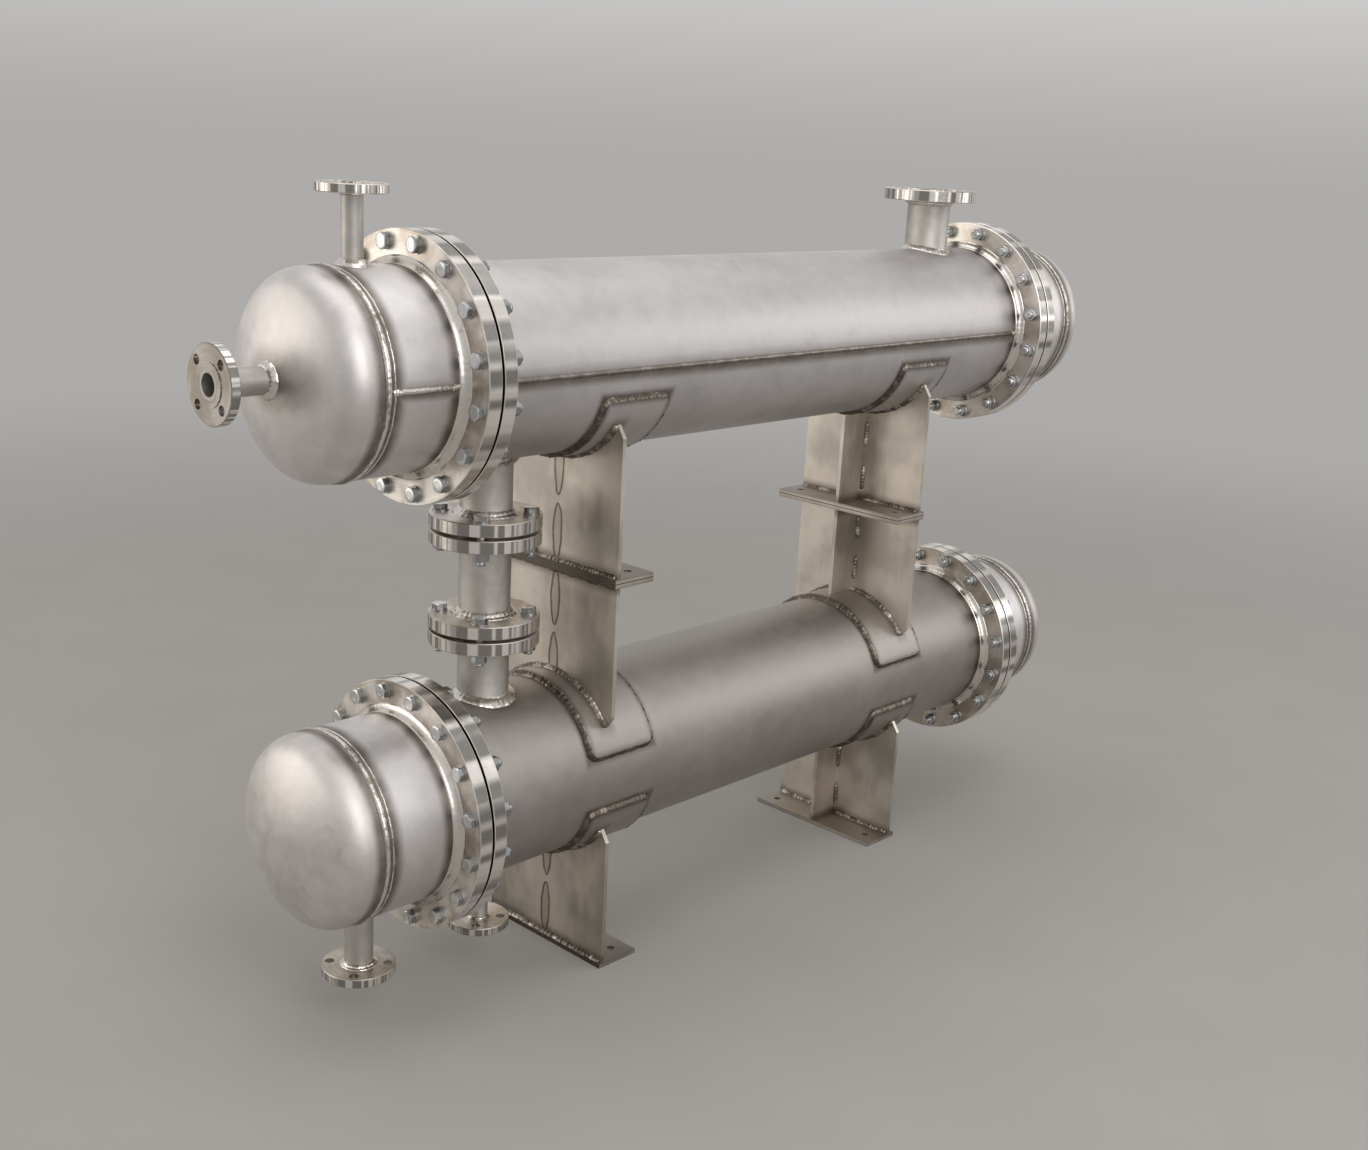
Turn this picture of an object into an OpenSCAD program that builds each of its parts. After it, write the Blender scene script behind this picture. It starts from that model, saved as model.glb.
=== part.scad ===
// Shell and tube heat exchanger: two equal exchangers stacked one above the other on saddles.
// The axes run along X, the front heads point to -X, Z is up and the floor is at z = 0.

/* [Stack] */
// Height of the lower exchanger's axis above the floor
lower_axis_h = 364; // [330:1:460]
// Distance between the two axes
axis_spacing = 735; // [700:1:900]
// Distance between the front and the rear gasket joint
joint_span = 1514; // [1200:1:2400]

/* [Shell] */
// Outside diameter of the shell and the channels
shell_od = 323.9; // [300:0.1:345]
// Wall of the shell
shell_wall = 5; // [3:0.5:9]
// Width of the raised bead on a longitudinal seam
seam_w = 7; // [4:0.5:12]
// Height of the raised bead on a longitudinal seam
seam_h = 1.6; // [0.8:0.1:3]
// Angle of the longitudinal seams below the horizontal
seam_angle = 1.5; // [-8:0.5:8]
// Side that the upper exchanger's seams face, -1 for -Y and 1 for +Y
upper_seam_way = -1; // [-1, 1]
// Side that the lower exchanger's seams face
lower_seam_way = 1; // [-1, 1]

/* [Heads] */
// Length of a channel from the gasket to the head seam
channel_length = 167; // [140:1:260]
// Wall of the channels and the heads
channel_wall = 5; // [3:0.5:9]
// Straight skirt of a dished head
head_skirt = 24; // [10:1:60]
// Depth of the dished part, outside
head_dish = 76; // [66:1:110]
// Outside radius of the knuckle between skirt and crown
head_knuckle = 50; // [30:1:60]
// Width of the weld ring between channel and head
ring_w = 13; // [6:0.5:20]
// Height of the weld ring
ring_h = 2.4; // [1:0.1:5]

/* [Main flanges] */
// Outside diameter of the channel flanges and the tubesheets
main_flange_od = 430; // [415:1:470]
// Thickness of a channel flange
main_flange_t = 26; // [16:1:40]
// Thickness of a tubesheet
tubesheet_t = 26; // [16:1:40]
// Bolt centres to the rim of a main flange
main_edge = 18.5; // [15:0.5:24]
// Bolts in a main joint
main_bolts = 16; // [8:4:24]
// Diameter of a main bolt hole
main_hole_d = 18; // [12:0.5:20]
// Thickness of a main gasket
main_gasket_t = 4; // [1.5:0.5:6]
// Bolt holes to the rim of a main gasket
main_gasket_clear = 2.5; // [1:0.5:6]
// Leg of the coved weld between shell or channel and flange
cove_leg = 12; // [6:1:15]
// Chamfer on the flange rims
rim_chamfer = 1.2; // [0.5:0.1:3]

/* [Process nozzles] */
// Outside diameter of the process pipe
process_pipe_od = 88.9; // [70:0.1:100]
// Wall of the process pipe
process_pipe_wall = 4; // [2.5:0.5:8]
// Outside diameter of a process flange
process_flange_od = 190.5; // [180:0.5:220]
// Thickness of a process flange with its raised face
process_flange_t = 23.9; // [16:0.1:32]
// Bolt centres to the rim of a process flange
process_edge = 19.05; // [16:0.05:24]
// Bolt holes to the raised face
process_face_clear = 3.2; // [1:0.1:6]
// Diameter of a process bolt hole
process_hole_d = 19; // [14:0.5:20]
// Thickness of a process gasket
process_gasket_t = 2.8; // [1.5:0.1:5]
// Distance of the joined nozzles behind the front joint
neck_offset = 149; // [135:1:165]
// Axis to raised face, nozzle under the upper shell
upper_neck_reach = 276; // [250:1:300]
// Axis to raised face, nozzle on the lower shell
lower_neck_reach = 281; // [250:1:300]
// Distance of the top nozzle ahead of the rear joint
top_nozzle_offset = 171; // [135:1:260]
// Axis to raised face, top nozzle
top_nozzle_reach = 286; // [250:1:340]

/* [Vent nozzle] */
// Outside diameter of the vent pipe
vent_pipe_od = 33.4; // [26:0.1:42]
// Wall of the vent pipe
vent_pipe_wall = 3.4; // [2:0.1:5]
// Outside diameter of a vent flange
vent_flange_od = 110; // [104:0.5:125]
// Thickness of a vent flange with its raised face
vent_flange_t = 15.8; // [12:0.1:22]
// Bolt centres to the rim of a vent flange
vent_edge = 15.3; // [12:0.1:20]
// Bolt holes to the raised face
vent_face_clear = 6.3; // [1:0.1:8]
// Distance of the vent nozzle ahead of the front joint
vent_offset = 118; // [85:1:132]
// Axis to raised face, vent nozzle
vent_reach = 283; // [240:1:340]
// Axis to raised face, drain under the lower shell
shell_drain_reach = 282; // [240:1:310]

/* [Drain nozzle] */
// Outside diameter of the channel drain pipe
drain_pipe_od = 48.3; // [40:0.1:60]
// Wall of the channel drain pipe
drain_pipe_wall = 3.7; // [2:0.1:5]
// Outside diameter of the channel drain flange
drain_flange_od = 125; // [120:0.5:140]
// Thickness of the channel drain flange with its raised face
drain_flange_t = 17.5; // [12:0.1:24]
// Bolt centres to the rim of the channel drain flange
drain_edge = 13.3; // [11:0.1:18]
// Bolt holes to the raised face
drain_face_clear = 4.7; // [1:0.1:8]
// Distance of the drain nozzle ahead of the front joint
drain_offset = 110; // [95:1:125]
// Axis to raised face, channel drain
drain_reach = 283; // [240:1:310]

/* [End nozzle] */
// Outside diameter of the end pipe
end_pipe_od = 42.2; // [32:0.1:50]
// Wall of the end pipe
end_pipe_wall = 3.6; // [2:0.1:5]
// Outside diameter of the end flange
end_flange_od = 120; // [116:0.5:135]
// Thickness of the end flange with its raised face
end_flange_t = 17; // [12:0.1:24]
// Bolt centres to the rim of the end flange
end_edge = 14.5; // [12:0.1:18]
// Bolt holes to the raised face
end_face_clear = 4.5; // [1:0.1:8]
// Crown of the head to the raised face
end_reach = 94; // [60:1:160]

/* [Nozzle details] */
// Bolts in each nozzle flange
nozzle_bolts = 4; // [4:4:8]
// Diameter of a small bolt hole
small_hole_d = 15.9; // [10:0.1:16]
// Height of the raised faces
face_h = 1.6; // [1:0.1:3]
// Leg of the nozzle welds
weld_leg = 6; // [3:0.5:9]

/* [Saddles] */
// Thickness of the webs, ribs and base plates
plate_t = 8; // [5:0.5:12]
// Side of the shell to the side edge of a saddle web
web_inset = 7; // [3:0.5:30]
// Width of the cut corner at a web tip
tip_w = 15; // [4:1:20]
// Height of the cut corner at a web tip
tip_h = 22; // [10:1:40]
// End of a base plate beyond the web's side edge
base_end = 4; // [1:0.5:40]
// Depth of a base plate along the axis
base_d = 92; // [70:1:140]
// Lip of a base plate outside the web
base_lip = 8; // [2:1:20]
// Distance of the front web's outer face behind the front joint
front_saddle_offset = 312; // [280:1:400]
// Distance of the rear web's outer face ahead of the rear joint
rear_saddle_offset = 322; // [280:1:420]
// Lower axis to the meeting plane of stand and upper saddle
stand_h = 365; // [300:1:420]
// Diameter of an anchor hole
anchor_hole_d = 14; // [8:1:22]
// Anchor hole to the base plate's long edge
anchor_edge = 32; // [18:1:36]
// Anchor hole to the base plate's end
anchor_end = 32; // [14:1:60]

/* [Wear pads] */
// Thickness of a wear pad
pad_t = 8; // [4:0.5:12]
// Length of a wear pad along the axis
pad_l = 146; // [120:1:200]
// Half of the angle that a pad wraps
pad_half_wrap = 71; // [64:1:80]
// Corner radius of a pad
pad_corner = 14; // [6:1:30]
// Pad edge ahead of the web's outer face
pad_lead = 43; // [20:1:60]

/* [Fits] */
// Clearance where curved faces seat on each other
seat_gap = 0.3; // [0.2:0.05:0.5]

/* [Hidden] */
$fn = 96;
// Overshoot of cutting bodies
cut = 1;
// Points along the knuckle of a dished head
knuckle_steps = 8;
// Points along half the crown of a dished head
crown_steps = 10;
// Points along a coved weld
cove_steps = 5;
// Points along half a weld ring
ring_steps = 4;
// Points along a pad's rounded corner
corner_steps = 6;

shell_r = shell_od / 2;
bore_r = shell_r - shell_wall;
channel_bore_r = shell_r - channel_wall;
upper_axis_h = lower_axis_h + axis_spacing;
head_reach = main_gasket_t / 2 + channel_length + head_skirt + head_dish;
front_reach = head_reach + end_reach;
total_length = front_reach + joint_span + head_reach;
front_joint_x = front_reach - total_length / 2;
rear_joint_x = front_joint_x + joint_span;
main_pcd = main_flange_od - 2 * main_edge;
main_gasket_od = main_pcd - main_hole_d - 2 * main_gasket_clear;
tubesheet_back = main_gasket_t / 2 + tubesheet_t;
process_pcd = process_flange_od - 2 * process_edge;
process_face_d = process_pcd - process_hole_d - 2 * process_face_clear;
vent_pcd = vent_flange_od - 2 * vent_edge;
vent_face_d = vent_pcd - small_hole_d - 2 * vent_face_clear;
drain_pcd = drain_flange_od - 2 * drain_edge;
drain_face_d = drain_pcd - small_hole_d - 2 * drain_face_clear;
end_pcd = end_flange_od - 2 * end_edge;
end_face_d = end_pcd - small_hole_d - 2 * end_face_clear;
web_w = shell_od - 2 * web_inset;
base_w = web_w + 2 * base_end;
pad_in_r = shell_r + seat_gap;
pad_out_r = pad_in_r + pad_t;
saddle_r = pad_out_r + seat_gap;
neck_x = front_joint_x + neck_offset;
top_nozzle_x = rear_joint_x - top_nozzle_offset;
vent_x = front_joint_x - vent_offset;
drain_x = front_joint_x - drain_offset;
upper_neck_face = upper_axis_h - upper_neck_reach;
lower_neck_face = lower_axis_h + lower_neck_reach;
spool_length = upper_neck_face - lower_neck_face - 2 * process_gasket_t;
upper_saddle_h = axis_spacing - stand_h;

steel = [0.72, 0.70, 0.67];
bright_steel = [0.80, 0.78, 0.74];
plate_steel = [0.66, 0.63, 0.58];
gasket_black = [0.10, 0.10, 0.10];

// Points of a concave quarter arc that blends from (r + leg, z) up to (r, z + leg)
function cove(r, z, leg, steps) = [
    for (i = [0:steps]) let (a = 90 * i / steps) [r + leg * (1 - sin(a)), z + leg * (1 - cos(a))]
];

// Points of a half bead on radius r, from its crest at z = 0 down to z = side
function half_bead(r, side, height, steps) = [
    for (i = [0:steps]) let (a = 90 * i / steps) [r + height * cos(a), side * sin(a)]
];

// Points of a dished outline from (r, z) over the knuckle and the crown arc to (0, z + depth)
function dished(r, z, depth, knuckle) =
    let (a = r - knuckle,
         crown = (a * a + depth * depth - knuckle * knuckle) / (2 * (depth - knuckle)),
         meet = asin(a / (crown - knuckle)))
    concat([for (i = [0:knuckle_steps]) let (t = (90 - meet) * i / knuckle_steps)
                [a + knuckle * cos(t), z + knuckle * sin(t)]],
           [for (i = [1:crown_steps]) let (t = meet * (1 - i / crown_steps))
                [crown * sin(t), z + depth - crown + crown * cos(t)]]);

function reversed(points) = [for (i = [len(points) - 1:-1:0]) points[i]];

// Places a piece on a front joint, with its +Z pointing to -X, away from the shell
module at_front(axis_h) {
    translate([front_joint_x, 0, axis_h]) rotate([0, -90, 0]) children();
}

// Places a piece on a rear joint, with its +Z pointing to +X, away from the shell
module at_rear(axis_h) {
    translate([rear_joint_x, 0, axis_h]) rotate([0, 90, 0]) children();
}

// Plain tube along Z
module tube(outer_r, inner_r, length) {
    difference() {
        cylinder(r = outer_r, h = length);
        translate([0, 0, -cut]) cylinder(r = inner_r, h = length + 2 * cut);
    }
}

// Ring of bolt holes that straddle the centre lines
module bolt_holes(count, pcd, hole_d, depth) {
    for (i = [0:count - 1])
        rotate([0, 0, (i + 0.5) * 360 / count])
            translate([pcd / 2, 0, -cut]) cylinder(d = hole_d, h = depth + 2 * cut, $fn = 32);
}

// Raised bead along X on the outside of a shell; way is -1 on the -Y side, 1 on the +Y side
module long_seam(x_from, x_to, axis_h, way) {
    bead_r = (pow(seam_w / 2, 2) + pow(seam_h, 2)) / (2 * seam_h);
    translate([x_from, 0, axis_h])
        rotate([-way * seam_angle, 0, 0])
            translate([0, way * (shell_r + seam_h - bead_r), 0])
                rotate([0, 90, 0]) cylinder(r = bead_r, h = x_to - x_from, $fn = 48);
}

// Dished head: seam at z = 0 with half the weld ring, skirt, dished end
module dished_head() {
    outer = concat(half_bead(shell_r, ring_w / 2, ring_h, ring_steps),
                   dished(shell_r, head_skirt, head_dish, head_knuckle));
    inner = concat([[channel_bore_r, 0]],
                   dished(channel_bore_r, head_skirt, head_dish - channel_wall,
                          head_knuckle - channel_wall));
    rotate_extrude() polygon(concat(outer, reversed(inner)));
}

module seated_head() {
    translate([0, 0, main_gasket_t / 2 + channel_length]) dished_head();
}

// Channel barrel with the other half of the weld ring
module channel_barrel() {
    outer = concat([[shell_r, 0]],
                   reversed([for (p = half_bead(shell_r, ring_w / 2, ring_h, ring_steps))
                       [p[0], channel_length - p[1]]]));
    translate([0, 0, main_gasket_t / 2])
        rotate_extrude()
            polygon(concat(outer, [[channel_bore_r, channel_length], [channel_bore_r, 0]]));
}

// Ring flange round the channel, its face on the gasket, with the coved weld on its back
module channel_flange() {
    rim_r = main_flange_od / 2;
    seat_r = shell_r + seat_gap;
    profile = concat([[seat_r, 0], [rim_r - rim_chamfer, 0], [rim_r, rim_chamfer],
                      [rim_r, main_flange_t - rim_chamfer], [rim_r - rim_chamfer, main_flange_t]],
                     cove(seat_r, main_flange_t, cove_leg, cove_steps));
    translate([0, 0, main_gasket_t / 2])
        difference() {
            rotate_extrude() polygon(profile);
            bolt_holes(main_bolts, main_pcd, main_hole_d, main_flange_t);
        }
}

// Tubesheet that is also the shell's flange, with the coved weld round the shell
module tubesheet() {
    rim_r = main_flange_od / 2;
    seat_r = shell_r + seat_gap;
    profile = concat([[0, 0], [rim_r - rim_chamfer, 0], [rim_r, rim_chamfer],
                      [rim_r, tubesheet_t - rim_chamfer], [rim_r - rim_chamfer, tubesheet_t]],
                     cove(seat_r, tubesheet_t, cove_leg, cove_steps),
                     [[seat_r, tubesheet_t], [0, tubesheet_t]]);
    translate([0, 0, -main_gasket_t / 2])
        mirror([0, 0, 1])
            difference() {
                rotate_extrude() polygon(profile);
                bolt_holes(main_bolts, main_pcd, main_hole_d, tubesheet_t);
            }
}

module main_gasket() {
    translate([0, 0, -main_gasket_t / 2]) tube(main_gasket_od / 2, channel_bore_r, main_gasket_t);
}

// Hole that a nozzle pipe passes through in a wall, along Z from the axis; way is 1 up, -1 down
module pipe_hole(x, axis_h, pipe_od, way) {
    translate([x, 0, axis_h + (way < 0 ? -shell_od : 0)])
        cylinder(d = pipe_od + 2 * seat_gap, h = shell_od);
}

// Raised-face slip-on flange with its face at z = 0 and its back below, welded round the pipe
module ring_flange(pipe_od, flange_od, thick, face_d, pcd, hole_d) {
    rim_r = flange_od / 2;
    back = -thick;
    difference() {
        rotate_extrude()
            polygon(concat([[0, 0], [face_d / 2, 0], [face_d / 2, -face_h], [rim_r - rim_chamfer, -face_h],
                            [rim_r, -face_h - rim_chamfer], [rim_r, back + rim_chamfer],
                            [rim_r - rim_chamfer, back]],
                           [for (p = cove(pipe_od / 2, 0, weld_leg, cove_steps)) [p[0], back - p[1]]],
                           [[0, back - weld_leg]]));
        translate([0, 0, back]) bolt_holes(nozzle_bolts, pcd, hole_d, thick);
    }
}

// Nozzle along +Z from a shell axis, set into the wall and welded all round
module shell_nozzle(pipe_od, pipe_wall, flange_od, thick, face_d, pcd, hole_d, reach, wall_r) {
    pipe_r = pipe_od / 2;
    side_drop = shell_r - sqrt(pow(shell_r, 2) - pow(pipe_r + weld_leg, 2));
    difference() {
        union() {
            cylinder(r = pipe_r, h = reach - thick);
            translate([0, 0, reach]) ring_flange(pipe_od, flange_od, thick, face_d, pcd, hole_d);
            difference() {
                translate([0, 0, shell_r - side_drop])
                    cylinder(r1 = pipe_r + weld_leg, r2 = pipe_r, h = side_drop + weld_leg);
                translate([-shell_od, 0, 0])
                    rotate([0, 90, 0]) cylinder(r = shell_r + seat_gap, h = 2 * shell_od);
            }
        }
        translate([0, 0, -cut]) cylinder(r = pipe_r - pipe_wall, h = reach + 2 * cut);
        translate([-shell_od, 0, 0]) rotate([0, 90, 0]) cylinder(r = wall_r, h = 2 * shell_od);
    }
}

// Process nozzle of the given reach, standing on a shell axis
module process_nozzle(reach) {
    shell_nozzle(process_pipe_od, process_pipe_wall, process_flange_od, process_flange_t,
                 process_face_d, process_pcd, process_hole_d, reach, bore_r);
}

// Small nozzle with the vent's pipe and flange; wall_r is the inside of the wall it sits in
module small_nozzle(reach, wall_r) {
    shell_nozzle(vent_pipe_od, vent_pipe_wall, vent_flange_od, vent_flange_t,
                 vent_face_d, vent_pcd, small_hole_d, reach, wall_r);
}

// Area beyond a pad's rounded end: along X, and along the wrap with the end line at 0
function beyond_pad_end() =
    let (side = pad_l / 2, c = pad_corner, s = corner_steps)
    concat([[-side - c, -c]],
           [for (i = [0:s]) let (a = 90 * i / s) [-side + c - c * cos(a), c * sin(a) - c]],
           [for (i = [0:s]) let (a = 90 * i / s) [side - c + c * sin(a), c * cos(a) - c]],
           [[side + c, -c], [side + c, pad_out_r], [-side - c, pad_out_r]]);

// Curved pad on the outside of a shell along X, its middle straight below the axis
module wrapped_pad() {
    difference() {
        translate([-pad_l / 2, 0, 0])
            rotate([0, 90, 0])
                rotate([0, 0, -90])
                    rotate_extrude(angle = 180) translate([pad_in_r, 0]) square([pad_t, pad_l]);
        for (side = [0, 1])
            mirror([0, side, 0])
                rotate([pad_half_wrap, 0, 0])
                    translate([0, 0, -pad_out_r - cut])
                        linear_extrude(pad_out_r) polygon(beyond_pad_end());
    }
}

// Outline of a saddle web in its own plane: across the axis, and up with the axis at 0;
// its slanted corners run on into the seat, which cuts them off at the tips
module web_outline(height) {
    half = web_w / 2;
    tip_z = -sqrt(pow(saddle_r, 2) - pow(half - tip_w, 2));
    inner = half - 2 * tip_w;
    difference() {
        polygon([[-half, -height], [half, -height], [half, tip_z - tip_h], [inner, tip_z + tip_h],
                 [-inner, tip_z + tip_h], [-half, tip_z - tip_h]]);
        circle(r = saddle_r);
    }
}

// T-shaped saddle below an axis: web with its outer face at x = 0, rib and base plate towards +X
module saddle(height) {
    base_top = plate_t - height;
    translate([-base_lip, -base_w / 2, -height])
        difference() {
            cube([base_d, base_w, plate_t]);
            for (y = [anchor_end, base_w - anchor_end])
                translate([base_d - anchor_edge, y, -cut])
                    cylinder(d = anchor_hole_d, h = plate_t + 2 * cut, $fn = 32);
        }
    rotate([90, 0, 90]) linear_extrude(plate_t) web_outline(height);
    difference() {
        translate([plate_t, -plate_t / 2, base_top])
            cube([base_d - base_lip - plate_t, plate_t, height - saddle_r]);
        rotate([0, 90, 0]) cylinder(r = saddle_r, h = base_d);
    }
}

// Places a saddle or pad at the front web's outer face, or mirrored at the rear one's
module at_front_saddle(axis_h) {
    translate([front_joint_x + front_saddle_offset, 0, axis_h]) children();
}

module at_rear_saddle(axis_h) {
    translate([rear_joint_x - rear_saddle_offset, 0, axis_h]) mirror([1, 0, 0]) children();
}

module seated_pad() {
    translate([pad_l / 2 - pad_lead, 0, 0]) wrapped_pad();
}

module over() {
    mirror([0, 0, 1]) children();
}

module shell_tube(axis_h, seam_way) {
    x_from = front_joint_x + tubesheet_back;
    x_to = rear_joint_x - tubesheet_back;
    difference() {
        union() {
            translate([x_from, 0, axis_h])
                rotate([0, 90, 0]) cylinder(r = shell_r, h = x_to - x_from);
            long_seam(x_from + cove_leg, x_to - cove_leg, axis_h, seam_way);
        }
        translate([x_from - cut, 0, axis_h])
            rotate([0, 90, 0]) cylinder(r = bore_r, h = x_to - x_from + 2 * cut);
    }
}

module front_channel_barrel(axis_h, seam_way) {
    x_from = front_joint_x - main_gasket_t / 2 - channel_length + ring_w / 2;
    x_to = front_joint_x - main_gasket_t / 2 - main_flange_t - cove_leg;
    difference() {
        union() {
            at_front(axis_h) channel_barrel();
            long_seam(x_from, x_to, axis_h, seam_way);
        }
        at_front(axis_h)
            cylinder(r = channel_bore_r, h = channel_length + main_gasket_t);
    }
}

module upper_front_head() color(steel) {
    difference() {
        at_front(upper_axis_h) seated_head();
        at_front(upper_axis_h) cylinder(d = end_pipe_od + 2 * seat_gap, h = front_reach);
    }
}

module upper_front_channel() color(steel) {
    difference() {
        front_channel_barrel(upper_axis_h, upper_seam_way);
        pipe_hole(vent_x, upper_axis_h, vent_pipe_od, 1);
    }
}

module upper_front_flange() color(bright_steel) at_front(upper_axis_h) channel_flange();
module upper_front_gasket() color(gasket_black) at_front(upper_axis_h) main_gasket();
module upper_front_tubesheet() color(bright_steel) at_front(upper_axis_h) tubesheet();

module upper_shell() color(steel) {
    difference() {
        shell_tube(upper_axis_h, upper_seam_way);
        pipe_hole(neck_x, upper_axis_h, process_pipe_od, -1);
        pipe_hole(top_nozzle_x, upper_axis_h, process_pipe_od, 1);
    }
}

module upper_rear_tubesheet() color(bright_steel) at_rear(upper_axis_h) tubesheet();
module upper_rear_gasket() color(gasket_black) at_rear(upper_axis_h) main_gasket();
module upper_rear_flange() color(bright_steel) at_rear(upper_axis_h) channel_flange();
module upper_rear_channel() color(steel) at_rear(upper_axis_h) channel_barrel();
module upper_rear_head() color(steel) at_rear(upper_axis_h) seated_head();

module lower_front_head() color(steel) at_front(lower_axis_h) seated_head();

module lower_front_channel() color(steel) {
    difference() {
        front_channel_barrel(lower_axis_h, lower_seam_way);
        pipe_hole(drain_x, lower_axis_h, drain_pipe_od, -1);
    }
}

module lower_front_flange() color(bright_steel) at_front(lower_axis_h) channel_flange();
module lower_front_gasket() color(gasket_black) at_front(lower_axis_h) main_gasket();
module lower_front_tubesheet() color(bright_steel) at_front(lower_axis_h) tubesheet();

module lower_shell() color(steel) {
    difference() {
        shell_tube(lower_axis_h, lower_seam_way);
        pipe_hole(neck_x, lower_axis_h, process_pipe_od, 1);
        pipe_hole(neck_x, lower_axis_h, vent_pipe_od, -1);
    }
}

module lower_rear_tubesheet() color(bright_steel) at_rear(lower_axis_h) tubesheet();
module lower_rear_gasket() color(gasket_black) at_rear(lower_axis_h) main_gasket();
module lower_rear_flange() color(bright_steel) at_rear(lower_axis_h) channel_flange();
module lower_rear_channel() color(steel) at_rear(lower_axis_h) channel_barrel();
module lower_rear_head() color(steel) at_rear(lower_axis_h) seated_head();

// Inlet on the crown of the upper front head
module end_nozzle() color(bright_steel) {
    pipe_r = end_pipe_od / 2;
    crown = head_reach;
    at_front(upper_axis_h)
        difference() {
            union() {
                translate([0, 0, crown - channel_wall])
                    cylinder(r = pipe_r, h = end_reach + channel_wall - end_flange_t);
                translate([0, 0, crown + seat_gap])
                    cylinder(r1 = pipe_r + weld_leg, r2 = pipe_r, h = weld_leg);
                translate([0, 0, crown + end_reach])
                    ring_flange(end_pipe_od, end_flange_od, end_flange_t, end_face_d, end_pcd,
                                small_hole_d);
            }
            translate([0, 0, crown - channel_wall - cut])
                cylinder(r = pipe_r - end_pipe_wall, h = end_reach + channel_wall + 2 * cut);
        }
}

module vent_nozzle() color(bright_steel)
    translate([vent_x, 0, upper_axis_h]) small_nozzle(vent_reach, channel_bore_r);

module top_nozzle() color(bright_steel)
    translate([top_nozzle_x, 0, upper_axis_h]) process_nozzle(top_nozzle_reach);

module upper_neck() color(bright_steel)
    translate([neck_x, 0, upper_axis_h]) over() process_nozzle(upper_neck_reach);

module lower_neck() color(bright_steel)
    translate([neck_x, 0, lower_axis_h]) process_nozzle(lower_neck_reach);

// Removable pipe piece with a flange at each end
module spool() color(bright_steel) {
    pipe_r = process_pipe_od / 2;
    half = spool_length / 2;
    translate([neck_x, 0, lower_neck_face + process_gasket_t + half])
        difference() {
            union() {
                translate([0, 0, process_flange_t - half])
                    cylinder(r = pipe_r, h = spool_length - 2 * process_flange_t);
                for (way = [0, 1])
                    mirror([0, 0, way])
                        translate([0, 0, half])
                            ring_flange(process_pipe_od, process_flange_od, process_flange_t,
                                        process_face_d, process_pcd, process_hole_d);
            }
            translate([0, 0, -half - cut])
                cylinder(r = pipe_r - process_pipe_wall, h = spool_length + 2 * cut);
        }
}

module spool_gaskets() color(gasket_black) {
    bore = process_pipe_od / 2 - process_pipe_wall;
    for (z = [lower_neck_face, upper_neck_face - process_gasket_t])
        translate([neck_x, 0, z]) tube(process_face_d / 2, bore, process_gasket_t);
}

module channel_drain_nozzle() color(bright_steel)
    translate([drain_x, 0, lower_axis_h])
        over() shell_nozzle(drain_pipe_od, drain_pipe_wall, drain_flange_od, drain_flange_t,
                            drain_face_d, drain_pcd, small_hole_d, drain_reach, channel_bore_r);

module shell_drain_nozzle() color(bright_steel)
    translate([neck_x, 0, lower_axis_h]) over() small_nozzle(shell_drain_reach, bore_r);

module upper_front_pad() color(steel) at_front_saddle(upper_axis_h) seated_pad();
module upper_rear_pad() color(steel) at_rear_saddle(upper_axis_h) seated_pad();
module front_stand_pad() color(steel) at_front_saddle(lower_axis_h) over() seated_pad();
module rear_stand_pad() color(steel) at_rear_saddle(lower_axis_h) over() seated_pad();
module lower_front_pad() color(steel) at_front_saddle(lower_axis_h) seated_pad();
module lower_rear_pad() color(steel) at_rear_saddle(lower_axis_h) seated_pad();

module upper_front_saddle() color(plate_steel) at_front_saddle(upper_axis_h) saddle(upper_saddle_h);
module upper_rear_saddle() color(plate_steel) at_rear_saddle(upper_axis_h) saddle(upper_saddle_h);
module front_stand() color(plate_steel) at_front_saddle(lower_axis_h) over() saddle(stand_h);
module rear_stand() color(plate_steel) at_rear_saddle(lower_axis_h) over() saddle(stand_h);
module lower_front_saddle() color(plate_steel) at_front_saddle(lower_axis_h) saddle(lower_axis_h);
module lower_rear_saddle() color(plate_steel) at_rear_saddle(lower_axis_h) saddle(lower_axis_h);

upper_front_head();
upper_front_channel();
upper_front_flange();
upper_front_gasket();
upper_front_tubesheet();
upper_shell();
upper_rear_tubesheet();
upper_rear_gasket();
upper_rear_flange();
upper_rear_channel();
upper_rear_head();
lower_front_head();
lower_front_channel();
lower_front_flange();
lower_front_gasket();
lower_front_tubesheet();
lower_shell();
lower_rear_tubesheet();
lower_rear_gasket();
lower_rear_flange();
lower_rear_channel();
lower_rear_head();
end_nozzle();
vent_nozzle();
top_nozzle();
upper_neck();
spool();
spool_gaskets();
lower_neck();
channel_drain_nozzle();
shell_drain_nozzle();
upper_front_pad();
upper_rear_pad();
front_stand_pad();
rear_stand_pad();
lower_front_pad();
lower_rear_pad();
upper_front_saddle();
upper_rear_saddle();
front_stand();
rear_stand();
lower_front_saddle();
lower_rear_saddle();
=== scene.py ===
"""Looks of a stacked pair of shell and tube heat exchangers: bolts, welds, finishes, studio."""

import logging
import math
from collections.abc import Sequence
from dataclasses import dataclass, field
from enum import Enum
from functools import reduce

import bpy
import numpy as np
from mathutils import Matrix, Vector


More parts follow.
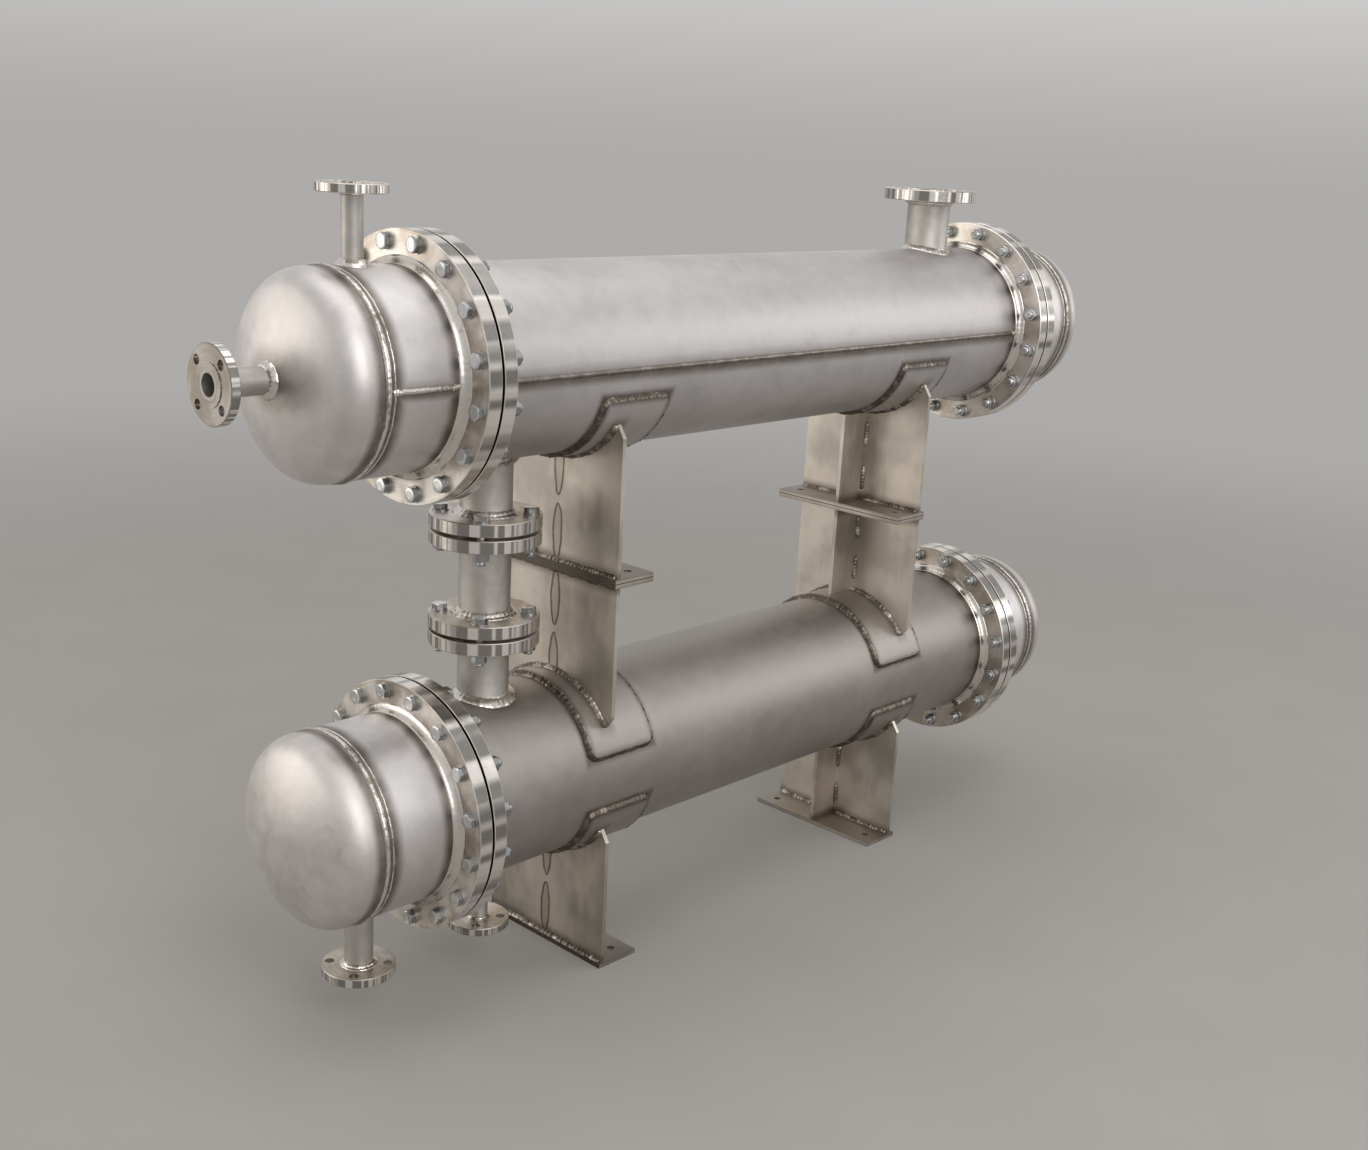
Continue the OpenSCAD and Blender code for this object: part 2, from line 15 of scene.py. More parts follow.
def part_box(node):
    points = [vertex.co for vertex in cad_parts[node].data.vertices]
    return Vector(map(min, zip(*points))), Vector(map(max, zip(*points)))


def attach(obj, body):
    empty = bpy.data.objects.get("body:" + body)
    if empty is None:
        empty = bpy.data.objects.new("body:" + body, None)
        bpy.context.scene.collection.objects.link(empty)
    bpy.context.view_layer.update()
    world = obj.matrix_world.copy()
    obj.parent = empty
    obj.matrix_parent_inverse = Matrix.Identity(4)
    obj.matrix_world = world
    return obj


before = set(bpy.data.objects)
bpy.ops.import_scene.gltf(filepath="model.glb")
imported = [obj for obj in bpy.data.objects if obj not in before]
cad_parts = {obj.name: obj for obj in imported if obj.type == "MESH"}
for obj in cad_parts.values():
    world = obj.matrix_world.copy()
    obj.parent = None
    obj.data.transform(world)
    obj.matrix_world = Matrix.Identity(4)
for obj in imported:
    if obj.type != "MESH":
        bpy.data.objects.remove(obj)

LOG = logging.getLogger("exchanger")
BODY = "root"
CRISP = math.radians(24)
SOFT = math.radians(75)
Triple = tuple[float, float, float]
Colour = Triple
Span = tuple[float, float]


class Slot(Enum):
    """Material slots of the record that a piece takes its finish from."""

    SHELL = "shell_plate"
    FLANGE = "flange"
    SADDLE = "saddle_plate"
    GASKET = "gasket"


class Level(Enum):
    """Place of an exchanger in the stack, as it stands in the names of its nodes."""

    UPPER = "upper"
    LOWER = "lower"


class End(Enum):
    """End of an exchanger, as it stands in the names of its nodes."""

    FRONT = "front"
    REAR = "rear"


class Form(Enum):
    """Section of a weld: a flat bead on one surface, or a fillet between two."""

    FLAT = "flat"
    FILLET = "fillet"


class Turn(Enum):
    """Direction of the axis that a piece was turned about, as a mask of the other two."""

    ALONG_X = (0.0, 1.0, 1.0)
    UPRIGHT = (1.0, 1.0, 0.0)

    @property
    def axis(self) -> Triple:
        """Unit vector along the axis."""
        return tuple(1.0 - part for part in self.value)


@dataclass(frozen=True)
class Signal:
    """An output of a node, whose arithmetic adds Math nodes."""

    graph: "Graph"
    node: bpy.types.Node
    output: int | str = 0

    @property
    def socket(self) -> bpy.types.NodeSocket:
        """The output's socket."""
        return self.node.outputs[self.output]

    def out(self, name: int | str) -> "Signal":
        """Another output of the same node."""
        return Signal(self.graph, self.node, name)

    def __add__(self, other: "Value") -> "Signal":
        """Sum."""
        return self.graph.math("ADD", self, other)

    def __radd__(self, other: float) -> "Signal":
        """Sum with a number on the left."""
        return self.graph.math("ADD", other, self)

    def __sub__(self, other: "Value") -> "Signal":
        """Difference."""
        return self.graph.math("SUBTRACT", self, other)

    def __rsub__(self, other: float) -> "Signal":
        """Difference from a number on the left."""
        return self.graph.math("SUBTRACT", other, self)

    def __mul__(self, other: "Value") -> "Signal":
        """Product."""
        return self.graph.math("MULTIPLY", self, other)

    def __rmul__(self, other: float) -> "Signal":
        """Product with a number on the left."""
        return self.graph.math("MULTIPLY", other, self)

    def __truediv__(self, other: "Value") -> "Signal":
        """Quotient."""
        return self.graph.math("DIVIDE", self, other)

    def __abs__(self) -> "Signal":
        """Size without its sign."""
        return self.graph.math("ABSOLUTE", self)

    def most(self, other: "Value") -> "Signal":
        """The larger of two values."""
        return self.graph.math("MAXIMUM", self, other)

    def rise(self, low: float, high: float) -> "Signal":
        """Smooth step from 0 at low to 1 at high."""
        inputs = {"Value": self, "From Min": low, "From Max": high}
        return self.graph.node("ShaderNodeMapRange", {"interpolation_type": "SMOOTHSTEP"}, inputs)

    def fall(self, low: float, high: float) -> "Signal":
        """Smooth step from 1 at low to 0 at high."""
        return 1 - self.rise(low, high)

    def band(self, start: float, peak: float, end: float) -> "Signal":
        """Smooth hill that starts, peaks and ends at the given values."""
        return self.rise(start, peak) * self.fall(peak, end)

    def swing(self, width: float) -> "Signal":
        """A noise about one half, as a swing of the given width about nothing."""
        return width * (self - 0.5)


Value = Signal | float


@dataclass(frozen=True)
class Clouds:
    """A cloudy noise: how many clouds in a metre, with how much and how strong detail."""

    scale: float
    detail: float = 2.0
    rough: float = 0.5


class Graph:
    """The nodes of one material or world."""

    def __init__(self, tree: bpy.types.NodeTree) -> None:
        """Starts with an empty tree."""
        self.tree = tree
        tree.nodes.clear()

    def node(self, kind: str, settings: dict | None = None, inputs: dict | None = None) -> Signal:
        """Adds a node.

        Args:
            kind: The node's type name.
            settings: Properties, which are set first.
            inputs: Values or signals by socket name or number.

        Returns:
            The node's first output.
        """
        made = self.tree.nodes.new(kind)
        for name, value in (settings or {}).items():
            setattr(made, name, value)
        for name, value in (inputs or {}).items():
            socket = made.inputs[name]
            if isinstance(value, Signal):
                self.tree.links.new(value.socket, socket)
            else:
                socket.default_value = (*value, 1.0) if socket.type == "RGBA" else value
        return Signal(self, made)

    def math(self, operation: str, *values: Value) -> Signal:
        """A Math node on up to three values."""
        return self.node("ShaderNodeMath", {"operation": operation}, dict(enumerate(values)))

    def across(self, first: Signal, second: Signal) -> Signal:
        """Distance from nothing in two directions at right angles."""
        return self.math("SQRT", first * first + second * second)

    def vector(self, operation: str, *values: Signal | tuple) -> Signal:
        """A Vector Math node."""
        return self.node("ShaderNodeVectorMath", {"operation": operation}, dict(enumerate(values)))

    def length(self, vector: Signal) -> Signal:
        """Length of a vector."""
        return self.vector("LENGTH", vector).out("Value")

    def dot(self, first: Signal, second: Signal | tuple) -> Signal:
        """Dot product of two vectors."""
        return self.vector("DOT_PRODUCT", first, second).out("Value")

    def normal(self) -> Signal:
        """Direction that the surface faces."""
        return self.node("ShaderNodeNewGeometry").out("Normal")

    def mix(self, share: Value, first: Signal | Colour, second: Signal | Colour) -> Signal:
        """A colour between two colours."""
        settings = {"data_type": "RGBA", "blend_type": "MIX", "clamp_factor": True}
        return self.node("ShaderNodeMix", settings, {0: share, 6: first, 7: second}).out(2)

    def noise(self, place: Signal, clouds: Clouds) -> Signal:
        """Cloudy noise between 0 and 1."""
        return self.node("ShaderNodeTexNoise", None, {
            "Vector": place, "Scale": clouds.scale, "Detail": clouds.detail, "Roughness": clouds.rough})

    def bump(self, height: Signal, distance: float, below: Signal | None = None) -> Signal:
        """Normal from a height of the given distance in metres, on top of another bump."""
        on_top = {} if below is None else {"Normal": below}
        return self.node("ShaderNodeBump", None, {"Height": height, "Distance": distance} | on_top)


@dataclass(frozen=True)
class Spot:
    """Where a shaded point is: its place as a vector, and the three parts of it."""

    place: Signal
    x: Signal
    y: Signal
    z: Signal

    @classmethod
    def of(cls, graph: Graph) -> "Spot":
        """The shaded point in the row frame, in metres.

        Args:
            graph: The material's nodes.

        Returns:
            The point.
        """
        place = graph.node("ShaderNodeTexCoord").out("Object")
        parts = graph.node("ShaderNodeSeparateXYZ", None, {0: place})
        return cls(place, parts.out("X"), parts.out("Y"), parts.out("Z"))


@dataclass(frozen=True, kw_only=True)
class Tint:
    """Heat tint beside a weld, in places also painted shade and reflection: how far it reaches and how
    strong it is.
    """

    reach: float
    weight: float

    def mask(self, graph: Graph, spot: Spot) -> Signal:
        """Strength of the tint at the shaded point."""
        raise NotImplementedError


@dataclass(frozen=True)
class RingTint(Tint):
    """Tint beside a weld that runs round the axis at one x, as far out in Y as side_to."""

    x: float
    half: float = 0.0
    side_to: float = 1.0
    side_fade: float = 0.012
    core: float = 0.25

    def mask(self, graph: Graph, spot: Spot) -> Signal:
        """Strength of the tint, full up to half and the core share of its reach.

        Args:
            graph: The material's nodes; not used.
            spot: The shaded point.

        Returns:
            The strength.
        """
        distance = abs(spot.x - self.x) - self.half
        inside = abs(spot.y).fall(self.side_to - self.side_fade, self.side_to)
        return distance.fall(self.reach * self.core, self.reach) * self.weight * inside


@dataclass(frozen=True)
class SeamTint(Tint):
    """Tint beside a seam along X on the side of Y that the seam lies on, weaker above it; the stronger
    part below the seam is painted shade.
    """

    z: float
    x_from: float
    x_to: float
    side: int
    end_fade: float = 0.01
    core: float = 0.005
    above: float = 0.35
    shade_below_span: Span = (-0.010, 0.004)
    side_span: Span = (0.08, 0.10)

    def mask(self, graph: Graph, spot: Spot) -> Signal:
        """Strength of the tint at the shaded point.

        Args:
            graph: The material's nodes; not used.
            spot: The shaded point.

        Returns:
            The strength.
        """
        along = spot.x.rise(self.x_from - self.end_fade, self.x_from + self.end_fade)
        along = along * spot.x.fall(self.x_to - self.end_fade, self.x_to + self.end_fade)
        # Painted shade below the seam.
        below = (self.z - spot.z).rise(*self.shade_below_span)
        near = abs(spot.z - self.z).fall(self.core, self.reach)
        here = (self.side * spot.y).rise(*self.side_span)
        return near * (self.above + (1 - self.above) * below) * along * here * self.weight


@dataclass(frozen=True)
class NozzleTint(Tint):
    """Tint round an upright nozzle on the side that way points to."""

    x: float
    axis_z: float
    pipe_r: float
    way: int
    core: float = 0.008
    side_span: Span = (0.04, 0.06)

    def mask(self, graph: Graph, spot: Spot) -> Signal:
        """Strength of the tint at the shaded point.

        Args:
            graph: The material's nodes.
            spot: The shaded point.

        Returns:
            The strength.
        """
        side = (self.way * (spot.z - self.axis_z)).rise(*self.side_span)
        distance = graph.across(spot.x - self.x, spot.y) - self.pipe_r
        return distance.fall(self.core, self.reach) * side * self.weight


@dataclass(frozen=True)
class PadTint(Tint):
    """Tint along the edges of a wear pad that wraps one side of a shell."""

    x_from: float
    x_to: float
    axis_z: float
    way: int
    half_wrap: float
    shell_r: float
    edge_span: Span = (-0.012, 0.004)

    def mask(self, graph: Graph, spot: Spot) -> Signal:
        """Strength of the tint, most at the outer end of edge_span.

        Args:
            graph: The material's nodes.
            spot: The shaded point.

        Returns:
            The strength.
        """
        angle = graph.math("ARCTAN2", abs(spot.y), self.way * (spot.z - self.axis_z))
        wrap = (angle - self.half_wrap) * self.shell_r
        middle = (self.x_from + self.x_to) / 2
        end = abs(spot.x - middle) - (self.x_to - self.x_from) / 2
        return wrap.most(end).band(*self.edge_span, self.reach) * self.weight


@dataclass(frozen=True)
class CrownTintAndShade(Tint):
    """Browned and smudged metal round the nozzle on the middle of a head, partly painted shade."""

    axis_z: float
    core: float = 0.030

    def mask(self, graph: Graph, spot: Spot) -> Signal:
        """Strength of the tint at the shaded point."""
        distance = graph.across(spot.z - self.axis_z, spot.y)
        return distance.fall(self.core, self.reach) * self.weight


@dataclass(frozen=True)
class Finish:
    """What every finish has: a name, a colour, a roughness and how metallic it is."""

    name: str
    colour: Colour
    roughness: float
    metallic: float = field(default=1.0, kw_only=True)

    def material(self) -> bpy.types.Material:
        """Makes the finish's material, once.

        Returns:
            The material.
        """
        found = bpy.data.materials.get(self.name)
        if found:
            return found
        made = bpy.data.materials.new(self.name)
        made.use_nodes = True
        graph = Graph(made.node_tree)
        inputs = {"Base Color": self.colour, "Roughness": self.roughness}
        inputs |= {"Metallic": self.metallic} | self.paint(graph, Spot.of(graph))
        shader = graph.node("ShaderNodeBsdfPrincipled", None, inputs)
        graph.node("ShaderNodeOutputMaterial", None, {"Surface": shader})
        return made

    def paint(self, graph: Graph, spot: Spot) -> dict[str, Signal]:
        """Inputs of the shader that change over the surface."""
        raise NotImplementedError

    def shade(self, share: float) -> Colour:
        """The finish's colour, lighter or darker by a share."""
        return tuple(min(1.0, part * share) for part in self.colour)


@dataclass(frozen=True)
class PickledPlate(Finish):
    """Rolled plate and pressed heads after pickling: matt, faintly clouded, tinted at welds, partly with
    painted shade and reflection.

    spread is how far the colour strays, and brushed is the strength of the fine lines.
    """

    tints: tuple[Tint, ...]
    spread: float = 0.07
    brushed: float = 0.0
    tint_and_shade_colour: Colour = (0.15, 0.122, 0.10)
    tint_gloss: float = 0.08
    stain_colour: Colour = (0.36, 0.32, 0.28)
    stain_share: float = 0.22
    stain_span: Span = (0.58, 0.74)
    tone_span: Span = (0.34, 0.66)
    broad_share: float = 0.55
    broad_rough: float = 0.16
    blotch_rough: float = 0.12
    blotch_relief: float = 0.0006
    grain_relief: float = 0.00004
    ragged_share: float = 0.22
    ragged_span: Span = (0.25, 0.75)
    line_stretch: Triple = (160.0, 160.0, 7.0)
    line_span: Span = (0.60, 0.70)
    line_shade: float = 1.25
    line_share: float = 0.35
    line_gloss: float = 0.10
    broad: Clouds = Clouds(5.0, 3.0, 0.55)
    blotch: Clouds = Clouds(34.0, 4.0, 0.6)
    grain: Clouds = Clouds(1400.0)
    lines: Clouds = Clouds(4.0, 3.0, 0.65)
    stains: Clouds = Clouds(13.0, 5.0, 0.65)
    ragged: Clouds = Clouds(28.0, 3.0, 0.6)

    def paint(self, graph: Graph, spot: Spot) -> dict[str, Signal]:
        """Clouds, stains, fine grain, brushed lines and heat tint, which in places is painted shade and
        reflection.

        Args:
            graph: The material's nodes.
            spot: The shaded point.

        Returns:
            Base colour, roughness and normal.
        """
        broad, blotch = graph.noise(spot.place, self.broad), graph.noise(spot.place, self.blotch)
        tone = (broad * self.broad_share + blotch * (1 - self.broad_share)).rise(*self.tone_span)
        colour = graph.mix(tone, self.shade(1 - self.spread), self.shade(1 + self.spread))
        stains = graph.noise(spot.place, self.stains).rise(*self.stain_span) * self.stain_share
        colour = graph.mix(stains, colour, self.stain_colour)
        ragged = graph.noise(spot.place, self.ragged).rise(*self.ragged_span)
        mask = reduce(Signal.most, (tint.mask(graph, spot) for tint in self.tints))
        mask = mask * (1 - self.ragged_share + self.ragged_share * ragged)
        # Heat tint, and in places painted shade and reflection beside the seams and round the end nozzle.
        colour = graph.mix(mask, colour, self.tint_and_shade_colour)
        rough = self.roughness + broad.swing(self.broad_rough) + blotch.swing(self.blotch_rough)
        rough = rough - self.tint_gloss * mask
        drawn = graph.vector("MULTIPLY", spot.place, self.line_stretch)
        lines = graph.noise(drawn, self.lines).rise(*self.line_span) * self.brushed
        colour = graph.mix(lines * self.line_share, colour, self.shade(self.line_shade))
        normal = graph.bump(graph.noise(spot.place, self.grain), self.grain_relief)
        normal = graph.bump(blotch, self.blotch_relief, normal)
        return {"Base Color": colour, "Roughness": rough - self.line_gloss * lines, "Normal": normal}


@dataclass(frozen=True)
class TurnedFlange(Finish):
    """Turned and bored flange: painted reflections as bars along the rim and clouds on the faces.

    Inside pipe_r a flange welded to a pipe shows the pipe's own matt finish. Next to each
    of the gaps its wall is in shadow. The rim has a painted highlight along its chamfer at
    each of the lines, which are places along the axis, and face lightens or darkens the
    painted reflections on the faces.
    """

    turn: Turn = Turn.ALONG_X
    centre: Triple = (0.0, 0.0, 0.0)
    face: float = 1.0
    bright_reflection_shade: float = 1.34
    face_rough: float = 0.13
    dark_reflection: Colour = (0.43, 0.372, 0.305)
    ring_share: float = 0.30
    ring_span: Span = (0.42, 0.58)
    ring_relief: float = 0.00003
    cloud_span: Span = (0.38, 0.62)
    cloud_rough: float = 0.26
    cloud_relief: float = 0.0012
    rim_span: Span = (0.80, 0.97)
    bar_span: Span = (0.43, 0.57)
    bar_reflection_shades: Span = (0.50, 1.42)
    bar_relief: float = 0.0030
    gaps: tuple[float, ...] = ()
    gap_half: float = 0.0022
    gap_fade: float = 0.0003
    gap_colour: Colour = (0.02, 0.018, 0.016)
    # Places, width and brightness of the painted highlights along the rim's chamfers.
    lines: tuple[float, ...] = ()
    line_span: Span = (0.0014, 0.0020)
    line_shade: float = 1.45
    line_share: float = 0.7
    pipe_r: float = 0.0
    pipe_span: Span = (0.0004, 0.0014)
    pipe_colour: Colour = (0.56, 0.535, 0.505)
    pipe_shade: float = 0.86
    pipe_rough: float = 0.52
    smudge_span: Span = (0.32, 0.72)
    bars: Clouds = Clouds(6.0, 1.0, 0.4)
    rings: Clouds = Clouds(420.0, 3.0, 0.7)
    clouds: Clouds = Clouds(15.0, 3.0, 0.55)
    smudges: Clouds = Clouds(46.0, 4.0, 0.6)

    def paint(self, graph: Graph, spot: Spot) -> dict[str, Signal]:
        """Painted reflections as bars that run along the axis on the rim and as soft clouds on the faces,
        and turning marks on the faces.

        Args:
            graph: The material's nodes.
            spot: The shaded point.

        Returns:
            Base colour, roughness and normal.
        """
        radial = graph.vector("SUBTRACT", spot.place, self.centre)
        radial = graph.vector("MULTIPLY", radial, self.turn.value)
        way, radius = graph.vector("NORMALIZE", radial), graph.length(radial)
        bars = graph.noise(way, self.bars)
        rings = graph.noise(graph.node("ShaderNodeCombineXYZ", None, {0: radius}), self.rings)
        clouds = graph.noise(spot.place, self.clouds)
        rim = abs(graph.dot(graph.normal(), way)).rise(*self.rim_span)
        # Painted reflections: clouds between a dark and a bright colour on the faces, mixed with the real
        # turning rings.
        face_reflection_and_turning = ((1 - self.ring_share) * clouds.rise(*self.cloud_span)
                       + self.ring_share * rings.rise(*self.ring_span))
        dark_reflection_face = tuple(self.face * part for part in self.dark_reflection)
        face = graph.mix(face_reflection_and_turning, dark_reflection_face, self.shade(self.bright_reflection_shade * self.face))
        # Painted reflections on the rim: dark and bright bars along the axis.
        dark_reflection_bar, bright_reflection_bar = (self.shade(share) for share in self.bar_reflection_shades)
        colour = graph.mix(rim, face, graph.mix(bars.rise(*self.bar_span), dark_reflection_bar, bright_reflection_bar))
        for gap_x in self.gaps:
            shadow = abs(spot.x - gap_x).fall(self.gap_half, self.gap_half + self.gap_fade)
            colour = graph.mix(shadow * (1 - rim), colour, self.gap_colour)
        # Painted highlight: a bright line along each chamfer of the rim.
        along = graph.dot(spot.place, self.turn.axis)
        for line in self.lines:
            chamfer = abs(along - line).fall(*self.line_span)
            colour = graph.mix(chamfer * rim * self.line_share, colour, self.shade(self.line_shade))
        rough = self.roughness + (self.face_rough + clouds.swing(self.cloud_rough)) * (1 - rim)
        relief = graph.bump(rings * (1 - rim), self.ring_relief)
        turned_bars = bars * rim
        if self.pipe_r:
            pipe = radius.fall(*(self.pipe_r + part for part in self.pipe_span))
            turned_bars = turned_bars * (1 - pipe)
            smudge = graph.noise(spot.place, self.smudges).rise(*self.smudge_span)
            smudged = tuple(self.pipe_shade * part for part in self.pipe_colour)
            colour = graph.mix(pipe, colour, graph.mix(smudge, smudged, self.pipe_colour))
            rough = rough + pipe * (self.pipe_rough - self.roughness)
        relief = graph.bump(turned_bars, self.bar_relief, relief)
        relief = graph.bump(clouds, self.cloud_relief, relief)
        return {"Base Color": colour, "Roughness": rough, "Normal": relief}


@dataclass(frozen=True)
class MillPlate(Finish):
    """Cut plate with its mill finish, and lens-shaped tints where the rib is stitched behind.

    The web's open face looks along X by face_way from web_x, and its foot ends in a plate
    whose free face lies at foot_z. The chain of lenses starts below top_z.
    """

    top_z: float
    web_x: float
    face_way: int
    foot_z: float
    pitch: float = 0.118
    lens_l: float = 0.104
    lens_w: float = 0.011
    lens_power: float = 0.6
    lens_waver: Span = (0.008, 0.006)
    lens_rim: Triple = (-0.0042, -0.0002, 0.0038)
    lens_rim_colour: Colour = (0.075, 0.056, 0.042)
    lens_rim_share: float = 0.88
    lens_tip: Span = (1.0, 1.02)
    lens_core: Span = (-0.003, 0.0015)
    lens_core_colour: Colour = (0.36, 0.30, 0.23)
    lens_core_share: float = 0.40
    open_span: Span = (-0.0012, -0.0004)
    foot_colour: Colour = (0.13, 0.105, 0.085)
    foot_shares: Span = (0.20, 0.50)
    foot_span: Triple = (0.003, 0.010, 0.030)
    edge_and_gap_shade_colour: Colour = (0.075, 0.06, 0.048)
    edge_share: float = 0.85
    edge_reach: Span = (0.0068, 0.0078)
    edge_rise: Span = (0.0074, 0.0086)
    gap_shade_share: float = 0.95
    joint_span: Span = (0.0004, 0.0013)
    streak_stretch: Triple = (1.0, 1.0, 0.18)
    streak_share: float = 0.18
    streak_rough: float = 0.18
    streak_relief: float = 0.0003
    broad_rough: float = 0.14
    grain_relief: float = 0.00003
    tone_span: Span = (0.36, 0.64)
    tone_shades: Span = (0.74, 1.18)
    streaks: Clouds = Clouds(60.0, 4.0, 0.6)
    broad: Clouds = Clouds(7.0, 3.0, 0.55)
    grain: Clouds = Clouds(900.0)
    ragged: Clouds = Clouds(55.0, 3.0, 0.6)

    def paint(self, graph: Graph, spot: Spot) -> dict[str, Signal]:
        """Rolled streaks, smudges, browned foot, darker plate edges, painted shade along the plate's
        joint, and the chain of lenses.

        Args:
            graph: The material's nodes.
            spot: The shaded point.

        Returns:
            Base colour, roughness and normal.
        """
        drawn = graph.vector("MULTIPLY", spot.place, self.streak_stretch)
        streak, broad = graph.noise(drawn, self.streaks), graph.noise(spot.place, self.broad)
        tone = (streak * self.streak_share + broad * (1 - self.streak_share)).rise(*self.tone_span)
        dark, bright = (self.shade(share) for share in self.tone_shades)
        proud = self.face_way * (spot.x - self.web_x)
        colour = self._foot(graph, abs(spot.z - self.foot_z), proud, graph.mix(tone, dark, bright))
        colour = self._lenses(graph, spot, proud, colour)
        rough = self.roughness + streak.swing(self.streak_rough) + broad.swing(self.broad_rough)
        normal = graph.bump(graph.noise(spot.place, self.grain), self.grain_relief)
        normal = graph.bump(streak, self.streak_relief, normal)
        return {"Base Color": colour, "Roughness": rough, "Normal": normal}

    def _foot(self, graph: Graph, rise: Signal, proud: Signal, colour: Signal) -> Signal:
        """Tint along the foot, the darker edge of its plate, and painted shade along the joint at its free
        face.

        Args:
            graph: The material's nodes.
            rise: Distance in Z from the plate's free face.
            proud: Distance in X in front of the web's open face.
            colour: The plate's colour so far.

        Returns:
            The colour with the foot's tints.
        """
        start, full, end = self.foot_span
        first, more = self.foot_shares
        foot = (first + more * rise.rise(start, full)) * rise.fall(full, end)
        edge = proud.rise(*self.edge_reach) * rise.fall(*self.edge_rise)
        # Painted shade: a dark line along the plate's free face, where it meets the next part.
        joint = rise.fall(*self.joint_span)
        colour = graph.mix(foot, colour, self.foot_colour)
        dark = (edge * self.edge_share).most(joint * self.gap_shade_share)
        return graph.mix(dark, colour, self.edge_and_gap_shade_colour)

    def _lenses(self, graph: Graph, spot: Spot, proud: Signal, colour: Signal) -> Signal:
        """Chain of lens-shaped tints on the web's open face.

        Args:
            graph: The material's nodes.
            spot: The shaded point.
            proud: Distance in X in front of the web's open face.
            colour: The plate's colour so far.

        Returns:
            The colour with the lenses.
        """
        ragged = graph.noise(spot.place, self.ragged) - 0.5
        lengthwise, sideways = self.lens_waver
        along = graph.math("WRAP", self.top_z - spot.z, self.pitch / 2, -self.pitch / 2)
        share = abs(along + lengthwise * ragged) / (self.lens_l / 2)
        half = graph.math("POWER", (1 - share * share).most(0.0), self.lens_power) * self.lens_w
        inside = abs(spot.y + sideways * ragged) - half
        rim = inside.band(*self.lens_rim) * share.fall(*self.lens_tip)
        core = inside.fall(*self.lens_core)
        open_face = proud.rise(*self.open_span)
        colour = graph.mix(core * open_face * self.lens_core_share, colour, self.lens_core_colour)
        return graph.mix(rim * open_face * self.lens_rim_share, colour, self.lens_rim_colour)


@dataclass(frozen=True)
class WeldMetal(Finish):
    """Weld metal with patches of another colour."""

    patch: Colour = (0.30, 0.25, 0.20)
    patch_from: float = 0.52
    patch_fade: float = 0.16
    patch_share: float = 0.85
    pitted: float = 0.00012
    rough_swing: float = 0.16
    patches: Clouds = Clouds(45.0, 3.0, 0.6)
    pits: Clouds = Clouds(600.0, 3.0, 0.6)

    def paint(self, graph: Graph, spot: Spot) -> dict[str, Signal]:
        """Patches and small pits.

        Args:
            graph: The material's nodes.
            spot: The shaded point.

        Returns:
            Base colour, roughness and normal.
        """
        patches, pits = graph.noise(spot.place, self.patches), graph.noise(spot.place, self.pits)
        share = patches.rise(self.patch_from, self.patch_from + self.patch_fade) * self.patch_share
        colour = graph.mix(share, self.colour, self.patch)
        rough = self.roughness + pits.swing(self.rough_swing) + patches.swing(self.rough_swing)
        return {"Base Color": colour, "Roughness": rough, "Normal": graph.bump(pits, self.pitted)}


@dataclass(frozen=True)
class ZincBolt(Finish):
    """Zinc-plated bolts: pale and slightly mottled on their ends, with painted shade on their flanks."""

    turn: Turn = Turn.ALONG_X
    shades: Span = (0.94, 1.05)
    mottle_span: Span = (0.3, 0.7)
    mottle_rough: float = 0.10
    painted_flank_shade: float = 0.50
    flank_span: Span = (0.55, 0.95)
    grain_relief: float = 0.00003
    mottle: Clouds = Clouds(90.0, 3.0, 0.6)
    grain: Clouds = Clouds(1500.0)

    def paint(self, graph: Graph, spot: Spot) -> dict[str, Signal]:
        """Mottle from bolt to bolt, fine plating grain and painted shade on the flanks.

        Args:
            graph: The material's nodes.
            spot: The shaded point.

        Returns:
            Base colour, roughness and normal.
        """
        mottle, grain = graph.noise(spot.place, self.mottle), graph.noise(spot.place, self.grain)
        dark, bright = (self.shade(share) for share in self.shades)
        colour = graph.mix(mottle.rise(*self.mottle_span), dark, bright)
        # Painted shade: the flanks darker than the ends.
        painted_flank_shade = graph.length(graph.vector("MULTIPLY", graph.normal(), self.turn.value))
        colour = graph.mix(painted_flank_shade.rise(*self.flank_span), colour, self.shade(self.painted_flank_shade))
        rough = self.roughness + mottle.swing(self.mottle_rough)
        return {"Base Color": colour, "Roughness": rough, "Normal": graph.bump(grain, self.grain_relief)}


@dataclass(frozen=True)
class GasketSheet(Finish):
    """Pressed fibre gasket with a dull edge."""

    shades: Span = (0.6, 1.5)
    fibre_span: Span = (0.3, 0.7)
    fibre_relief: float = 0.0002
    fibres: Clouds = Clouds(500.0, 4.0, 0.7)

    def paint(self, graph: Graph, spot: Spot) -> dict[str, Signal]:
        """Fibre mottle.

        Args:
            graph: The material's nodes.
            spot: The shaded point.

        Returns:
            Base colour and normal.
        """
        fibre = graph.noise(spot.place, self.fibres)
        dark, bright = (self.shade(share) for share in self.shades)
        colour = graph.mix(fibre.rise(*self.fibre_span), dark, bright)
        return {"Base Color": colour, "Normal": graph.bump(fibre, self.fibre_relief)}


